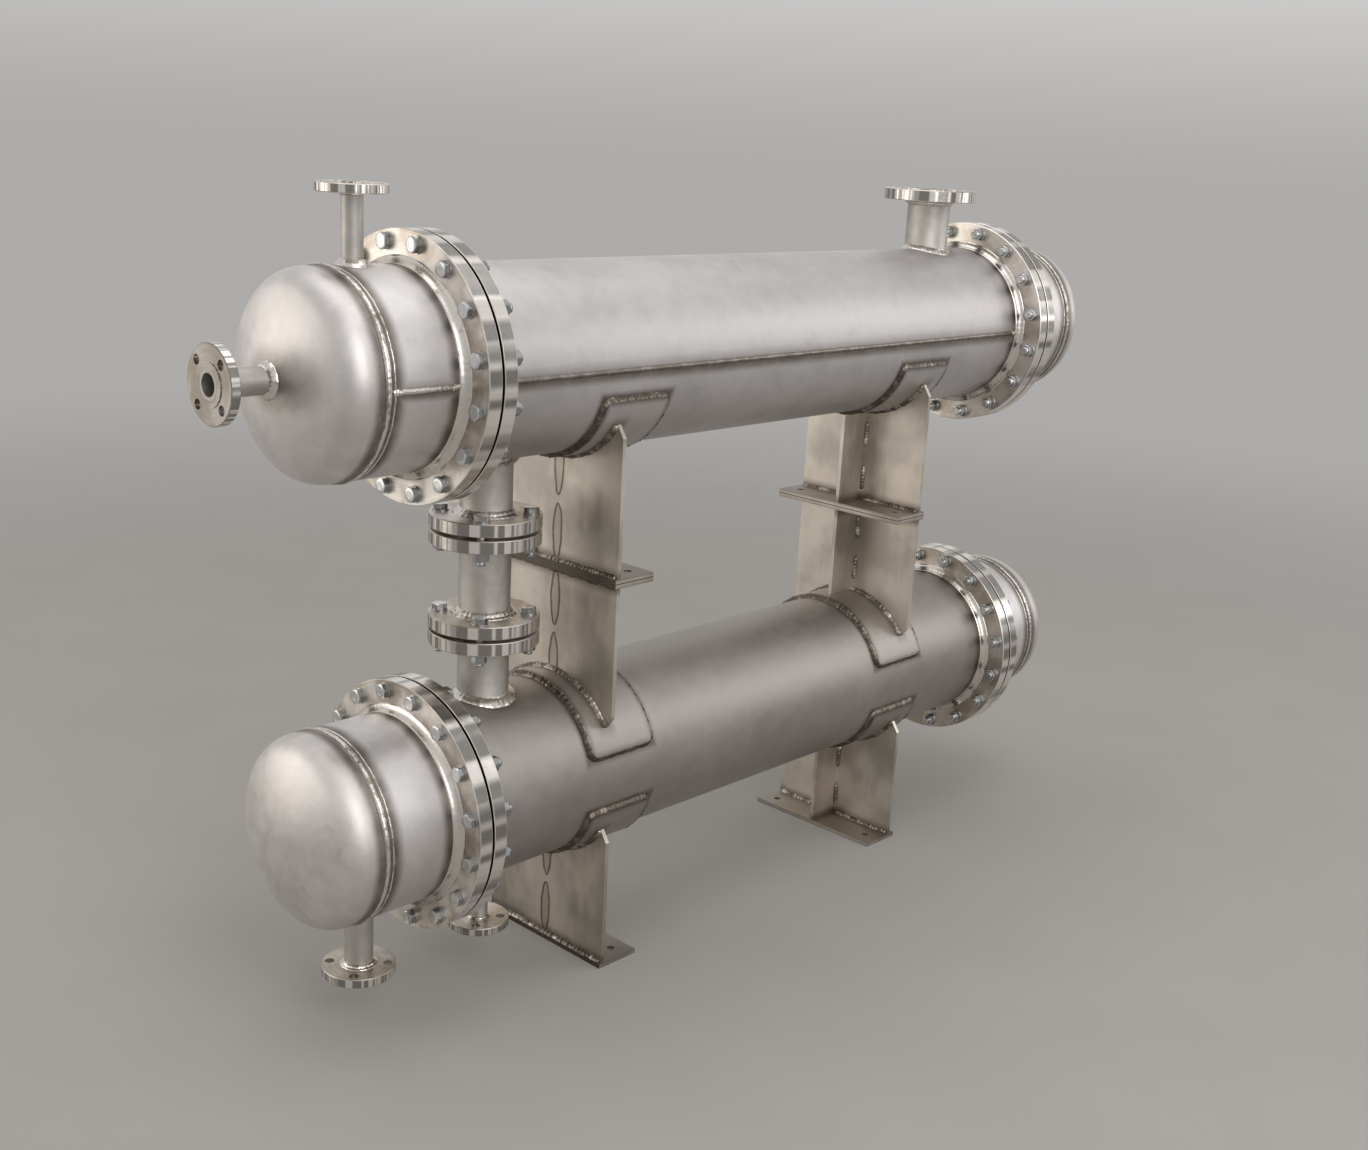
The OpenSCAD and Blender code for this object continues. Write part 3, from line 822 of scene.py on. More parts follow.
FLANGE_COLOUR = (0.63, 0.60, 0.57)
GASKET = GasketSheet("gasket_sheet", (0.022, 0.021, 0.020), 0.75, metallic=0.0)
WELD = WeldMetal("weld_metal", (0.72, 0.69, 0.65), 0.24)
COVE = WeldMetal("cove_metal", (0.72, 0.685, 0.64), 0.27, patch=(0.44, 0.39, 0.33), patch_from=0.60,
                 pitted=0.000005)
SEAM = WeldMetal("seam_metal", (0.30, 0.27, 0.25), 0.38, patch=(0.20, 0.175, 0.155), patch_from=0.40)
EDGE = WeldMetal("edge_metal", (0.25, 0.218, 0.19), 0.30, patch=(0.10, 0.082, 0.067), patch_from=0.34)
FOOT = WeldMetal("foot_metal", (0.42, 0.38, 0.34), 0.28, patch=(0.12, 0.098, 0.08), patch_from=0.38)
BOLTING = ZincBolt("zinc_bolting", (0.71, 0.723, 0.726), 0.24)
UPRIGHT_BOLTING = ZincBolt("upright_zinc_bolting", (0.71, 0.723, 0.726), 0.24, turn=Turn.UPRIGHT)


@dataclass(frozen=True)
class Shape:
    """Points and faces of one closed shape."""

    points: np.ndarray
    faces: list[tuple[int, ...]]

    def placed(self, place: Matrix) -> "Shape":
        """The same shape after a move."""
        turn = np.array(place)
        return Shape(self.points @ turn[:3, :3].T + turn[:3, 3], self.faces)


def grid_faces(rows: int, columns: int, closed: bool) -> list[tuple[int, ...]]:
    """Quads between rings of points.

    Args:
        rows: Number of rings.
        columns: Points in each ring, which closes on itself.
        closed: Whether the last ring joins the first.

    Returns:
        Faces as point numbers.
    """
    row = np.arange(rows if closed else rows - 1)[:, None]
    column = np.arange(columns)[None, :]
    after = (row + 1) % rows
    beside = (column + 1) % columns
    quads = np.stack([row * columns + column, row * columns + beside,
                      after * columns + beside, after * columns + column], axis=-1)
    return [tuple(quad) for quad in quads.reshape(-1, 4).tolist()]


def swept(rings: np.ndarray, closed: bool) -> Shape:
    """A shape from rings of points.

    Args:
        rings: Points by ring and place in the ring.
        closed: Whether the sweep closes on itself; an open one is capped at both ends.

    Returns:
        The shape.
    """
    rows, columns = rings.shape[:2]
    faces = grid_faces(rows, columns, closed)
    if not closed:
        faces.append(tuple(range(columns - 1, -1, -1)))
        faces.append(tuple(range((rows - 1) * columns, rows * columns)))
    return Shape(rings.reshape(-1, 3), faces)


def steps_round(count: int) -> np.ndarray:
    """Angles of equal steps round a circle."""
    return np.arange(count) * 2 * math.pi / count


def turned(rings: Sequence[tuple], steps: int, hollow: bool = False) -> Shape:
    """A shape turned about Z from its outline.

    Args:
        rings: (radius, height) pairs; each may be a number or one value per step.
        steps: Points round the axis.
        hollow: True where the outline closes on itself, as on a washer.

    Returns:
        The shape; a solid one is capped at its first and last ring.
    """
    angle, level = steps_round(steps), np.ones(steps)
    rows = [np.stack([radius * np.cos(angle), radius * np.sin(angle), height * level], axis=-1)
            for radius, height in rings]
    return swept(np.array(rows), hollow)


@dataclass
class Body:
    """Collects closed shapes and makes one mesh piece of them."""

    name: str
    points: list[np.ndarray] = field(default_factory=list)
    faces: list[tuple[int, ...]] = field(default_factory=list)
    count: int = 0

    def add(self, shape: Shape) -> None:
        """Adds a shape, with its faces turned outwards.

        Args:
            shape: The closed shape.
        """
        corner = shape.points[np.array([face[:3] for face in shape.faces])]
        middle = shape.points.mean(axis=0)
        flow = np.einsum("ij,ij->i", corner[:, 0] - middle,
                         np.cross(corner[:, 1] - middle, corner[:, 2] - middle)).sum()
        order = -1 if flow < 0 else 1
        self.faces += [tuple(i + self.count for i in face[::order]) for face in shape.faces]
        self.points.append(shape.points)
        self.count += len(shape.points)

    def build(self, finish: Finish, slot: Slot, crease: float = SOFT) -> None:
        """Makes the mesh piece, dresses it and lets it ride on the body.

        Args:
            finish: The piece's finish.
            slot: The record's slot; not used.
            crease: Edges that fold more than this angle stay crisp.
        """
        mesh = bpy.data.meshes.new(self.name)
        mesh.from_pydata(np.concatenate(self.points).tolist(), [], self.faces)
        mesh.shade_smooth()
        mesh.set_sharp_from_angle(angle=crease)
        mesh.materials.append(finish.material())
        piece = bpy.data.objects.new(self.name, mesh)
        bpy.context.scene.collection.objects.link(piece)
        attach(piece, BODY)
        LOG.info("%s: %d faces", self.name, len(self.faces))


def unit(vectors: np.ndarray) -> np.ndarray:
    """Vectors brought to length 1."""
    return vectors / np.linalg.norm(vectors, axis=-1, keepdims=True)


def repeated(direction: Sequence[float], count: int) -> np.ndarray:
    """One direction for each of the points of a track."""
    return np.tile(np.array(direction, float), (count, 1))


def wave(share: np.ndarray, cycles: Sequence[int], rng: np.random.Generator) -> np.ndarray:
    """Smooth wave between about -1 and 1 that closes on itself over share 0 to 1."""
    parts = [np.sin(2 * math.pi * (count * share + rng.random())) for count in cycles]
    return sum(parts) / math.sqrt(len(cycles))


@dataclass(frozen=True)
class Track:
    """Line that a weld follows, with the two directions that its section lies in."""

    points: np.ndarray
    first: np.ndarray
    second: np.ndarray
    closed: bool = False

    @classmethod
    def straight(cls, start: Sequence[float], end: Sequence[float], first: Sequence[float],
                 second: Sequence[float], step: float = 0.001) -> "Track":
        """A straight track between two points.

        Args:
            start: First point.
            end: Last point.
            first: Direction of the section's first side.
            second: Direction of its second side.
            step: Distance between points.

        Returns:
            The track, with at least eight points.
        """
        start, end = np.array(start, float), np.array(end, float)
        count = max(8, int(np.linalg.norm(end - start) / step))
        points = start + np.linspace(0, 1, count)[:, None] * (end - start)
        return cls(points, repeated(first, count), repeated(second, count))

    @classmethod
    def round_axis(cls, centre: Sequence[float], radius: float, turn: Turn, way: int,
                   step: float) -> "Track":
        """A circle round an axis.

        Args:
            centre: Middle of the circle.
            radius: Its radius.
            turn: Direction of the axis.
            way: Direction along the axis of the section's first side, 1 or -1.
            step: Distance between points.

        Returns:
            A closed track whose sides lie along the axis and away from it.
        """
        angle = steps_round(int(2 * math.pi * radius / step))
        level = np.zeros(len(angle))
        parts = {Turn.ALONG_X: (level, np.cos(angle), np.sin(angle)),
                 Turn.UPRIGHT: (np.cos(angle), np.sin(angle), level)}
        out = np.stack(parts[turn], axis=-1)
        first = tuple(way * part for part in turn.axis)
        return cls(out * radius + np.array(centre), repeated(first, len(out)), out, True)

    def measure(self) -> tuple[np.ndarray, float]:
        """Way covered along the track.

        Returns:
            Distance of each point from the first, and the whole length.
        """
        steps = np.linalg.norm(np.diff(self.points, axis=0), axis=1)
        along = np.concatenate([[0.0], np.cumsum(steps)])
        closing = np.linalg.norm(self.points[0] - self.points[-1]) if self.closed else 0
        return along, along[-1] + closing


@dataclass(frozen=True)
class WeldStyle:
    """How a weld looks.

    A flat bead has its width across `first` and its height along `second`. A fillet has
    a leg along each, crown is how far its face bulges out (or in, when negative), and
    toe_step is how far its two toes stand proud. Ripples follow each other by pitch and
    bow backwards at the sides, and the bead wanders and swells over lengths of sway.
    """

    form: Form
    width: float
    height: float
    crown: float = 0.0
    pitch: float = 0.0045
    ripple: float = 0.00028
    bow: float = 0.45
    wander: float = 0.07
    sway: float = 0.05
    sink: float = 0.0010
    taper: float = 0.007
    tip_share: float = 0.25
    fullness: float = 0.85
    toe_drop: float = 0.0002
    undercut: float = 0.98
    toe_step: float = 0.0002
    toe_depth: float = 0.0006
    diagonal: float = 0.7071
    section: int = 7

    def bead(self, track: Track, seed: int) -> Shape:
        """Sweeps the bead along a track.

        Args:
            track: The line and its directions.
            seed: Seed of the bead's small irregularities.

        Returns:
            One closed shape.
        """
        rng = np.random.default_rng(seed)
        along, length = track.measure()
        share = along / length
        cycles = max(2, round(length / self.pitch))
        slow = max(1, round(length / self.sway))
        phase = cycles * share + 0.5 * wave(share, (slow, 2 * slow + 1), rng)
        swell = 1 + self.wander * wave(share, (slow, 2 * slow + 1, 5 * slow + 2), rng)
        drift = 0.5 * self.wander * self.width * wave(share, (slow + 1, 3 * slow), rng)
        if not track.closed:
            near = np.clip(np.minimum(along, length - along) / self.taper, 0, 1)
            swell = swell * (self.tip_share + (1 - self.tip_share) * np.sqrt(near * (2 - near)))
        place, grow = np.linspace(-1, 1, self.section)[None, :], swell[:, None]
        bowed = phase[:, None] + self.bow * place * place
        ripple = self.ripple * (1 - place * place) * np.cos(2 * math.pi * bowed)
        if self.form is Form.FLAT:
            across, out = self._flat(place, grow, ripple, drift[:, None])
        else:
            across, out = self._fillet(place, grow, ripple)
        rings = (track.points[:, None, :] + across[:, :, None] * track.first[:, None, :]
                 + out[:, :, None] * track.second[:, None, :])
        return swept(rings, track.closed)

    def _flat(self, place: np.ndarray, grow: np.ndarray, ripple: np.ndarray,
              drift: np.ndarray) -> tuple[np.ndarray, np.ndarray]:
        """Sections of a flat bead.

        Args:
            place: Place across the section, from -1 to 1.
            grow: Size of the bead at each point of the track.
            ripple: Height of the ripples.
            drift: Wander to the side.

        Returns:
            Places along the two directions.
        """
        body = 1 - place * place
        across = place * self.width / 2 * (0.5 + 0.5 * grow) + drift
        out = (self.height * body ** self.fullness * grow + ripple) - self.toe_drop * (1 - body)
        sides = np.stack([across[:, -1] * self.undercut, across[:, 0] * self.undercut], axis=1)
        return np.hstack([across, sides]), np.hstack([out, np.full(sides.shape, -self.sink)])

    def _fillet(self, place: np.ndarray, grow: np.ndarray,
                ripple: np.ndarray) -> tuple[np.ndarray, np.ndarray]:
        """Sections of a fillet.

        Args:
            place: Place on the face, from -1 to 1.
            grow: Size of the bead at each point of the track.
            ripple: Height of the ripples.

        Returns:
            Places along the two directions.
        """
        share = (place + 1) / 2
        bulge = (self.crown * np.sin(math.pi * share) + ripple) * self.diagonal
        across = self.width * (1 - share) * grow + bulge + self.toe_step
        out = self.height * share * grow + bulge + self.toe_step
        root, deep = (np.full(grow.shape, -depth) for depth in (self.sink, self.toe_depth))
        foot, head = across[:, :1] + self.toe_step, out[:, -1:] + self.toe_step
        return np.hstack([foot, across, deep, root]), np.hstack([deep, out, head, root])


def middle_of(node: str) -> Vector:
    """Middle of a CAD node's box."""
    low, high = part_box(node)
    return (low + high) / 2


@dataclass(frozen=True)
class Exchanger:
    """One exchanger of the stack: its axis height, its radii and its stations along X."""

    level: Level
    axis_z: float
    shell_r: float
    rim_r: float
    front_x: float
    rear_x: float
    joint_half: float
    flange_t: float
    front_seam_x: float
    rear_seam_x: float
    seam_side: int
    cove: float = 0.012
    bolt_edge: float = 0.0185
    seam_angle: float = math.radians(1.5)
    ring_step: float = 0.0015

    @classmethod
    def read(cls, level: Level) -> "Exchanger":
        """Reads one exchanger's places from the frame.

        Args:
            level: Which of the two exchangers.

        Returns:
            The exchanger.
        """
        name = level.value
        shell_low, shell_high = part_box(f"{name}_shell")
        gasket_low, gasket_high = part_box(f"{name}_front_gasket")
        flange_low, flange_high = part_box(f"{name}_front_flange")
        return cls(
            level=level,
            axis_z=middle_of(f"{name}_front_gasket").z,
            shell_r=min(-shell_low.y, shell_high.y),
            rim_r=flange_high.y,
            front_x=middle_of(f"{name}_front_gasket").x,
            rear_x=middle_of(f"{name}_rear_gasket").x,
            joint_half=(gasket_high.x - gasket_low.x) / 2,
            flange_t=flange_high.x - flange_low.x - cls.cove,
            front_seam_x=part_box(f"{name}_front_head")[1].x,
            rear_seam_x=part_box(f"{name}_rear_head")[0].x,
            seam_side=-1 if -shell_low.y > shell_high.y else 1,
        )

    @property
    def name(self) -> str:
        """Common start of the names of its nodes and pieces."""
        return self.level.value

    @property
    def bolt_r(self) -> float:
        """Radius of the bolt circle."""
        return self.rim_r - self.bolt_edge

    @property
    def seam_z(self) -> float:
        """Height of the long seams."""
        return self.axis_z - self.shell_r * math.sin(self.seam_angle)

    @property
    def flange_reach(self) -> float:
        """Distance along X from the middle of a joint to a flange's back."""
        return self.joint_half + self.flange_t

    @property
    def cove_reach(self) -> float:
        """Distance along X from the middle of a joint to the end of a flange's coved weld."""
        return self.flange_reach + self.cove

    def ring(self, x: float, radius: float, way: int) -> Track:
        """Track round the axis at one x, whose first side points along X by way."""
        return Track.round_axis((x, 0.0, self.axis_z), radius, Turn.ALONG_X, way, self.ring_step)


@dataclass(frozen=True)
class Pipe:
    """Size of a flanged pipe: outside radius of the pipe and thickness of the flange."""

    radius: float
    flange_t: float
    step: float = 0.0011

    def ring(self, x: float, z: float, way: int) -> Track:
        """Level circle round an upright pipe, whose first side points up (1) or down (-1)."""
        return Track.round_axis((x, 0.0, z), self.radius, Turn.UPRIGHT, way, self.step)


@dataclass(frozen=True)
class Nozzle:
    """A nozzle that stands upright on a shell or a channel, up (1) or down (-1) by way."""

    name: str
    exchanger: Exchanger
    pipe: Pipe
    way: int

    @property
    def x(self) -> float:
        """Station of its axis."""
        return middle_of(self.name).x

    @property
    def back_z(self) -> float:
        """Height of the flange's back."""
        low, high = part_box(self.name)
        return (high.z if self.way > 0 else low.z) - self.way * self.pipe.flange_t

    def foot(self) -> Track:
        """Follows the line where the pipe meets the shell.

        Returns:
            A closed track whose sides lie up the pipe and along the shell.
        """
        out = self.pipe.ring(0.0, 0.0, self.way).second
        points = out * self.pipe.radius
        points[:, 2] = self.way * np.sqrt(self.exchanger.shell_r ** 2 - points[:, 1] ** 2)
        normal = unit(points * np.array([0.0, 1.0, 1.0]))
        along = unit(out - (out * normal).sum(axis=1, keepdims=True) * normal)
        points = points + np.array([self.x, 0.0, self.exchanger.axis_z])
        return Track(points, repeated((0.0, 0.0, self.way), len(out)), along, True)

    def hub(self) -> Track:
        """Track where the pipe meets the flange's back."""
        return self.pipe.ring(self.x, self.back_z, -self.way)


@dataclass(frozen=True)
class Hardware:
    """A hexagon bolt with washers and nut; the clamped stack lies below z = 0."""

    shank_r: float = 0.008
    flats: float = 0.024
    corner_share: float = 0.568
    face_share: float = 0.470
    chamfer: float = math.radians(28)
    head_h: float = 0.0095
    head_lift: float = 0.0004
    head_base_share: float = 0.99
    dish_h: float = 0.0001
    dish_shares: tuple[float, ...] = (0.97, 0.52, 0.48, 0.2)
    nut_h: float = 0.013
    nut_edge: float = 0.0002
    nut_bore_share: float = 0.99
    nut_mouth_share: float = 1.16
    nut_mouth_h: float = 0.0010
    washer_r: float = 0.0142
    washer_t: float = 0.0025
    washer_edge: float = 0.0003
    washer_hole_share: float = 1.06
    crest_share: float = 0.995
    root_share: float = 0.86
    tip_h: float = 0.0008
    tip_inset: float = 0.0010
    head_overlap: float = 0.001
    spare: float = 0.008
    spare_shares: Span = (0.55, 1.0)
    pitch: float = 0.002
    steps: int = 30

    @property
    def face_r(self) -> float:
        """Radius of the round faces of head and nut, inside their chamfers."""
        return self.flats * self.face_share

    def _hexagon(self) -> np.ndarray:
        """Radius of the hexagon at each step, with its corners a little rounded."""
        from_flat = (steps_round(self.steps) + math.pi / 6) % (math.pi / 3) - math.pi / 6
        return np.minimum(self.flats / 2 / np.cos(from_flat), self.flats * self.corner_share)

    def washer(self, base: float) -> Shape:
        """Flat washer.

        Args:
            base: Height of its lower face.

        Returns:
            The shape.
        """
        hole, top = self.shank_r * self.washer_hole_share, base + self.washer_t
        rim, edge = self.washer_r, self.washer_edge
        outline = [(hole, base), (rim - edge, base), (rim, base + edge), (rim, top - edge),
                   (rim - edge, top), (hole, top)]
        return turned(outline, self.steps, hollow=True)

    def head(self, base: float) -> Shape:
        """Bolt head with its chamfer circle and a shallow dished top.

        Args:
            base: Height of its bearing face.

        Returns:
            The shape.
        """
        hexagon, top = self._hexagon(), base + self.head_h
        shoulder = top - (hexagon - self.face_r) * math.tan(self.chamfer)
        rises = (self.dish_h, self.dish_h, -self.dish_h, -self.dish_h)
        outline = [(self.face_r, base), (hexagon * self.head_base_share, base + self.head_lift),
                   (hexagon, shoulder), (self.face_r, top)]
        outline += [(self.face_r * share, top + rise) for share, rise in zip(self.dish_shares, rises)]
        return turned(outline, self.steps)

    def nut(self, top: float) -> Shape:
        """Nut that hangs below its bearing face.

        Args:
            top: Height of the bearing face.

        Returns:
            The shape.
        """
        hexagon, low = self._hexagon(), top - self.nut_h
        drop = (hexagon - self.face_r) * math.tan(self.chamfer)
        bore = self.shank_r * self.nut_bore_share
        outline = [(bore, top), (self.face_r, top), (hexagon, top - drop - self.nut_edge),
                   (hexagon, low + drop + self.nut_edge), (self.face_r, low),
                   (self.shank_r * self.nut_mouth_share, low), (bore, low + self.nut_mouth_h)]
        return turned(outline, self.steps, hollow=True)

    def shank(self, top: float, bottom: float) -> Shape:
        """Shank with a plain part above and thread grooves at its lower end.

        Args:
            top: Height of its upper end, inside the head.
            bottom: Height of its free end.

        Returns:
            The shape.
        """
        crest, root = self.shank_r * self.crest_share, self.shank_r * self.root_share
        thread_top = min(top, bottom + self.nut_h + self.spare)
        outline = [(crest, top), (crest, thread_top)]
        for i in range(int((thread_top - bottom - self.tip_inset) / self.pitch)):
            z = thread_top - (i + 0.5) * self.pitch
            outline += [(root, z), (crest, z - self.pitch * 0.5)]
        outline += [(crest, bottom + self.tip_h), (crest - self.tip_inset, bottom)]
        return turned(outline, self.steps // 2)

    def add_to(self, body: Body, place: Matrix, grip: float, rng: np.random.Generator) -> None:
        """Adds one set of hardware.

        Args:
            body: The mesh that collects it.
            place: Moves +Z onto the bolt's axis and z = 0 onto the head's side of the stack.
            grip: Thickness of the clamped stack.
            rng: Source of each bolt's own turn and length.
        """
        spin = [Matrix.Rotation(rng.uniform(0, math.pi), 4, "Z") for _ in range(2)]
        nut_top = -grip - self.washer_t
        end = nut_top - self.nut_h - self.spare * rng.uniform(*self.spare_shares)
        parts = [(self.washer(0.0), spin[0]), (self.head(self.washer_t), spin[0]),
                 (self.shank(self.washer_t + self.head_overlap, end), spin[0]),
                 (self.washer(nut_top), spin[1]), (self.nut(nut_top), spin[1])]
        for shape, turn in parts:
            body.add(shape.placed(place @ turn))


@dataclass
class MainJoint:
    """Bolted joint of an exchanger: bolts, the two coved flange welds and the head seam."""

    exchanger: Exchanger
    end: End
    hardware: Hardware
    bolts: int = 16
    ridge_gap: float = 0.0112
    cove_style: WeldStyle = WeldStyle(Form.FILLET, 0.0128, 0.0128, crown=-0.0026, pitch=0.016,
                                      ripple=0.00004, wander=0.008, sink=-0.0004)
    seam_style: WeldStyle = WeldStyle(Form.FLAT, 0.0108, 0.0034, pitch=0.0090, ripple=0.00010,
                                      wander=0.06, sink=0.0004)
    ridge_style: WeldStyle = WeldStyle(Form.FLAT, 0.0034, 0.0009, pitch=0.0060, ripple=0.00008,
                                       wander=0.18, sink=0.0006)

    @property
    def way(self) -> int:
        """Direction along X from the joint to its channel."""
        return -1 if self.end is End.FRONT else 1

    @property
    def joint_x(self) -> float:
        """Middle of the gasket."""
        return self.exchanger.front_x if self.way < 0 else self.exchanger.rear_x

    @property
    def seam_x(self) -> float:
        """Seam between channel and head."""
        return self.exchanger.front_seam_x if self.way < 0 else self.exchanger.rear_seam_x

    @property
    def name(self) -> str:
        """Common start of the pieces' names."""
        return f"{self.exchanger.name}_{self.end.value}"

    def build_bolts(self, seed: int) -> None:
        """Bolts in the ring of holes that straddle the centre lines.

        Args:
            seed: Seed of the bolts' turns and lengths.
        """
        rng = np.random.default_rng(seed)
        radius, reach = self.exchanger.bolt_r, self.exchanger.flange_reach
        body = Body(f"{self.name}_bolts")
        to_axis = Matrix.Rotation(self.way * math.pi / 2, 4, "Y")
        for i in range(self.bolts):
            angle = (i + 0.5) * 2 * math.pi / self.bolts
            spot = Matrix.Translation((self.joint_x + self.way * reach, radius * math.cos(angle),
                                       self.exchanger.axis_z + radius * math.sin(angle)))
            self.hardware.add_to(body, spot @ to_axis, 2 * reach, rng)
        body.build(BOLTING, Slot.FLANGE, CRISP)

    def build_welds(self, seed: int) -> None:
        """Coved welds on both flanges, and the seam of the head with its backing ridge.

        Args:
            seed: Seed of the beads' irregularities.
        """
        vessel, reach = self.exchanger, self.exchanger.flange_reach
        for label, side in (("flange_weld", self.way), ("tubesheet_weld", -self.way)):
            body = Body(f"{self.name}_{label}")
            track = vessel.ring(self.joint_x + side * reach, vessel.shell_r, side)
            body.add(self.cove_style.bead(track, seed + side))
            body.build(COVE, Slot.SHELL)
        body = Body(f"{self.name}_head_seam")
        ridge_x = self.seam_x - self.way * self.ridge_gap
        rows = ((self.seam_x, self.seam_style), (ridge_x, self.ridge_style))
        for offset, (x, style) in enumerate(rows):
            body.add(style.bead(vessel.ring(x, vessel.shell_r, self.way), seed + 5 + offset))
        body.build(WELD, Slot.SHELL)


@dataclass
class SpoolJoint:
    """Bolted joint at one end of the joining pipe."""

    name: str
    x: float
    top_z: float
    grip: float
    bolt_r: float
    hardware: Hardware
    bolts: int = 4

    def build(self, seed: int) -> None:
        """Bolts with their heads on top and nuts below.

        Args:
            seed: Seed of the bolts' turns and lengths.
        """
        rng = np.random.default_rng(seed)
        body = Body(self.name)
        for i in range(self.bolts):
            angle = (i + 0.5) * 2 * math.pi / self.bolts
            spot = Matrix.Translation((self.x + self.bolt_r * math.cos(angle),
                                       self.bolt_r * math.sin(angle), self.top_z))
            self.hardware.add_to(body, spot, self.grip, rng)
        body.build(UPRIGHT_BOLTING, Slot.FLANGE, CRISP)


@dataclass
class LongSeams:
    """Seams along X: a dull one on the shell, a bright one on the front channel."""

    exchanger: Exchanger
    step: float = 0.0014
    head_gap: float = 0.006
    end_half: float = 0.009
    style: WeldStyle = WeldStyle(Form.FLAT, 0.0092, 0.0025, pitch=0.0050, ripple=0.00014, sink=0.0008)
    end_style: WeldStyle = WeldStyle(Form.FLAT, 0.0110, 0.0032, pitch=0.0060, ripple=0.00020,
                                     wander=0.10, sink=0.0008, taper=0.008)

    def track(self, x_from: float, x_to: float) -> Track:
        """Track between two stations, on the seams' side.

        Args:
            x_from: First station.
            x_to: Last station.

        Returns:
            A track whose sides lie round the shell and away from its axis.
        """
        turn, side = self.exchanger.seam_angle, self.exchanger.seam_side
        out = np.array([0.0, side * math.cos(turn), -math.sin(turn)])
        spot = out * self.exchanger.shell_r + np.array([0.0, 0.0, self.exchanger.axis_z])
        across = (0.0, side * math.sin(turn), math.cos(turn))
        return Track.straight(spot + [x_from, 0, 0], spot + [x_to, 0, 0], across, out, self.step)

    def build(self, seed: int) -> None:
        """Both seams, and the thicker bead at each of their ends.

        Args:
            seed: Seed of the beads' irregularities.
        """
        vessel = self.exchanger
        stretches = (
            ("shell_seam", SEAM, vessel.front_x + vessel.cove_reach, vessel.rear_x - vessel.cove_reach),
            ("channel_seam", WELD, vessel.front_seam_x + self.head_gap,
             vessel.front_x - vessel.cove_reach),
        )
        ends = Body(f"{vessel.name}_seam_ends")
        for offset, (label, finish, x_from, x_to) in enumerate(stretches):
            body = Body(f"{vessel.name}_{label}")
            body.add(self.style.bead(self.track(x_from, x_to), seed + offset))
            body.build(finish, Slot.SHELL)
            for last, x in enumerate((x_from + self.end_half, x_to - self.end_half)):
                track = self.track(x - self.end_half, x + self.end_half)
                ends.add(self.end_style.bead(track, seed + 5 + 2 * offset + last))
        ends.build(WELD, Slot.SHELL)


def hub_passes(share: float) -> tuple[WeldStyle, WeldStyle]:
    """The two passes of the weld behind a nozzle's flange, the outer low and wide.

    Args:
        share: Size of the weld beside that of the largest pipes.

    Returns:
        Styles of the outer and the inner pass.
    """
    outer = WeldStyle(Form.FILLET, 0.0052 * share, 0.0122 * share, crown=0.0012 * share,
                      pitch=0.0062, ripple=0.00014, wander=0.05, sink=0.0008)
    inner = WeldStyle(Form.FILLET, 0.0098 * share, 0.0082 * share, crown=0.0010 * share,
                      pitch=0.0058, ripple=0.00016, wander=0.05, sink=0.0008)
    return outer, inner


@dataclass
class NozzleWelds:
    """Fillet at a nozzle's foot and the weld behind its flange, smaller on a narrow pipe."""

    nozzle: Nozzle
    foot_reach: float = 0.0095
    foot_leg: float = 0.0090
    full_r: float = 0.04

    def build(self, seed: int) -> None:
        """Both welds as one piece, the hub in two passes.

        Args:
            seed: Seed of the beads' irregularities.
        """
        foot = WeldStyle(Form.FILLET, self.foot_leg, self.foot_reach, crown=0.0010, pitch=0.0062,
                         ripple=0.00012, wander=0.04, sink=0.0008)
        body = Body(f"{self.nozzle.name}_welds")
        body.add(foot.bead(self.nozzle.foot(), seed))
        share = min(1.0, self.nozzle.pipe.radius / self.full_r)
        for offset, style in enumerate(hub_passes(share)):
            body.add(style.bead(self.nozzle.hub(), seed + 1 + offset))
        body.build(WELD, Slot.FLANGE)


@dataclass
class SpoolWelds:
    """Welds behind the two flanges of the joining pipe."""

    x: float
    backs: tuple[float, float]
    pipe: Pipe

    def build(self, seed: int) -> None:
        """Both hub welds as one piece.

        Args:
            seed: Seed of the beads' irregularities.
        """
        body = Body("spool_welds")
        for offset, (z, way) in enumerate(zip(self.backs, (1, -1))):
            for layer, style in enumerate(hub_passes(1.0)):
                body.add(style.bead(self.pipe.ring(self.x, z, way), seed + 2 * offset + layer))
        body.build(WELD, Slot.FLANGE)


@dataclass
class EndNozzleWelds:
    """Collar and hub welds of the nozzle on the upper front head."""

    exchanger: Exchanger
    pipe: Pipe
    collar: WeldStyle = WeldStyle(Form.FILLET, 0.0090, 0.0085, crown=0.0009, pitch=0.0070,
                                  ripple=0.00022, wander=0.06)
    hub: WeldStyle = WeldStyle(Form.FILLET, 0.0080, 0.0085, crown=0.0010, pitch=0.0070, ripple=0.00014)

    def build(self, seed: int) -> None:
        """Collar on the head and hub on the flange, as one piece.

        Args:
            seed: Seed of the beads' irregularities.
        """
        vessel, crown_x = self.exchanger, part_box("upper_front_head")[0].x
        back_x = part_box("end_nozzle")[0].x + self.pipe.flange_t
        body = Body("end_nozzle_welds")
        body.add(self.collar.bead(vessel.ring(crown_x, self.pipe.radius, -1), seed))
        body.add(self.hub.bead(vessel.ring(back_x, self.pipe.radius, 1), seed + 1))
        body.build(WELD, Slot.FLANGE)


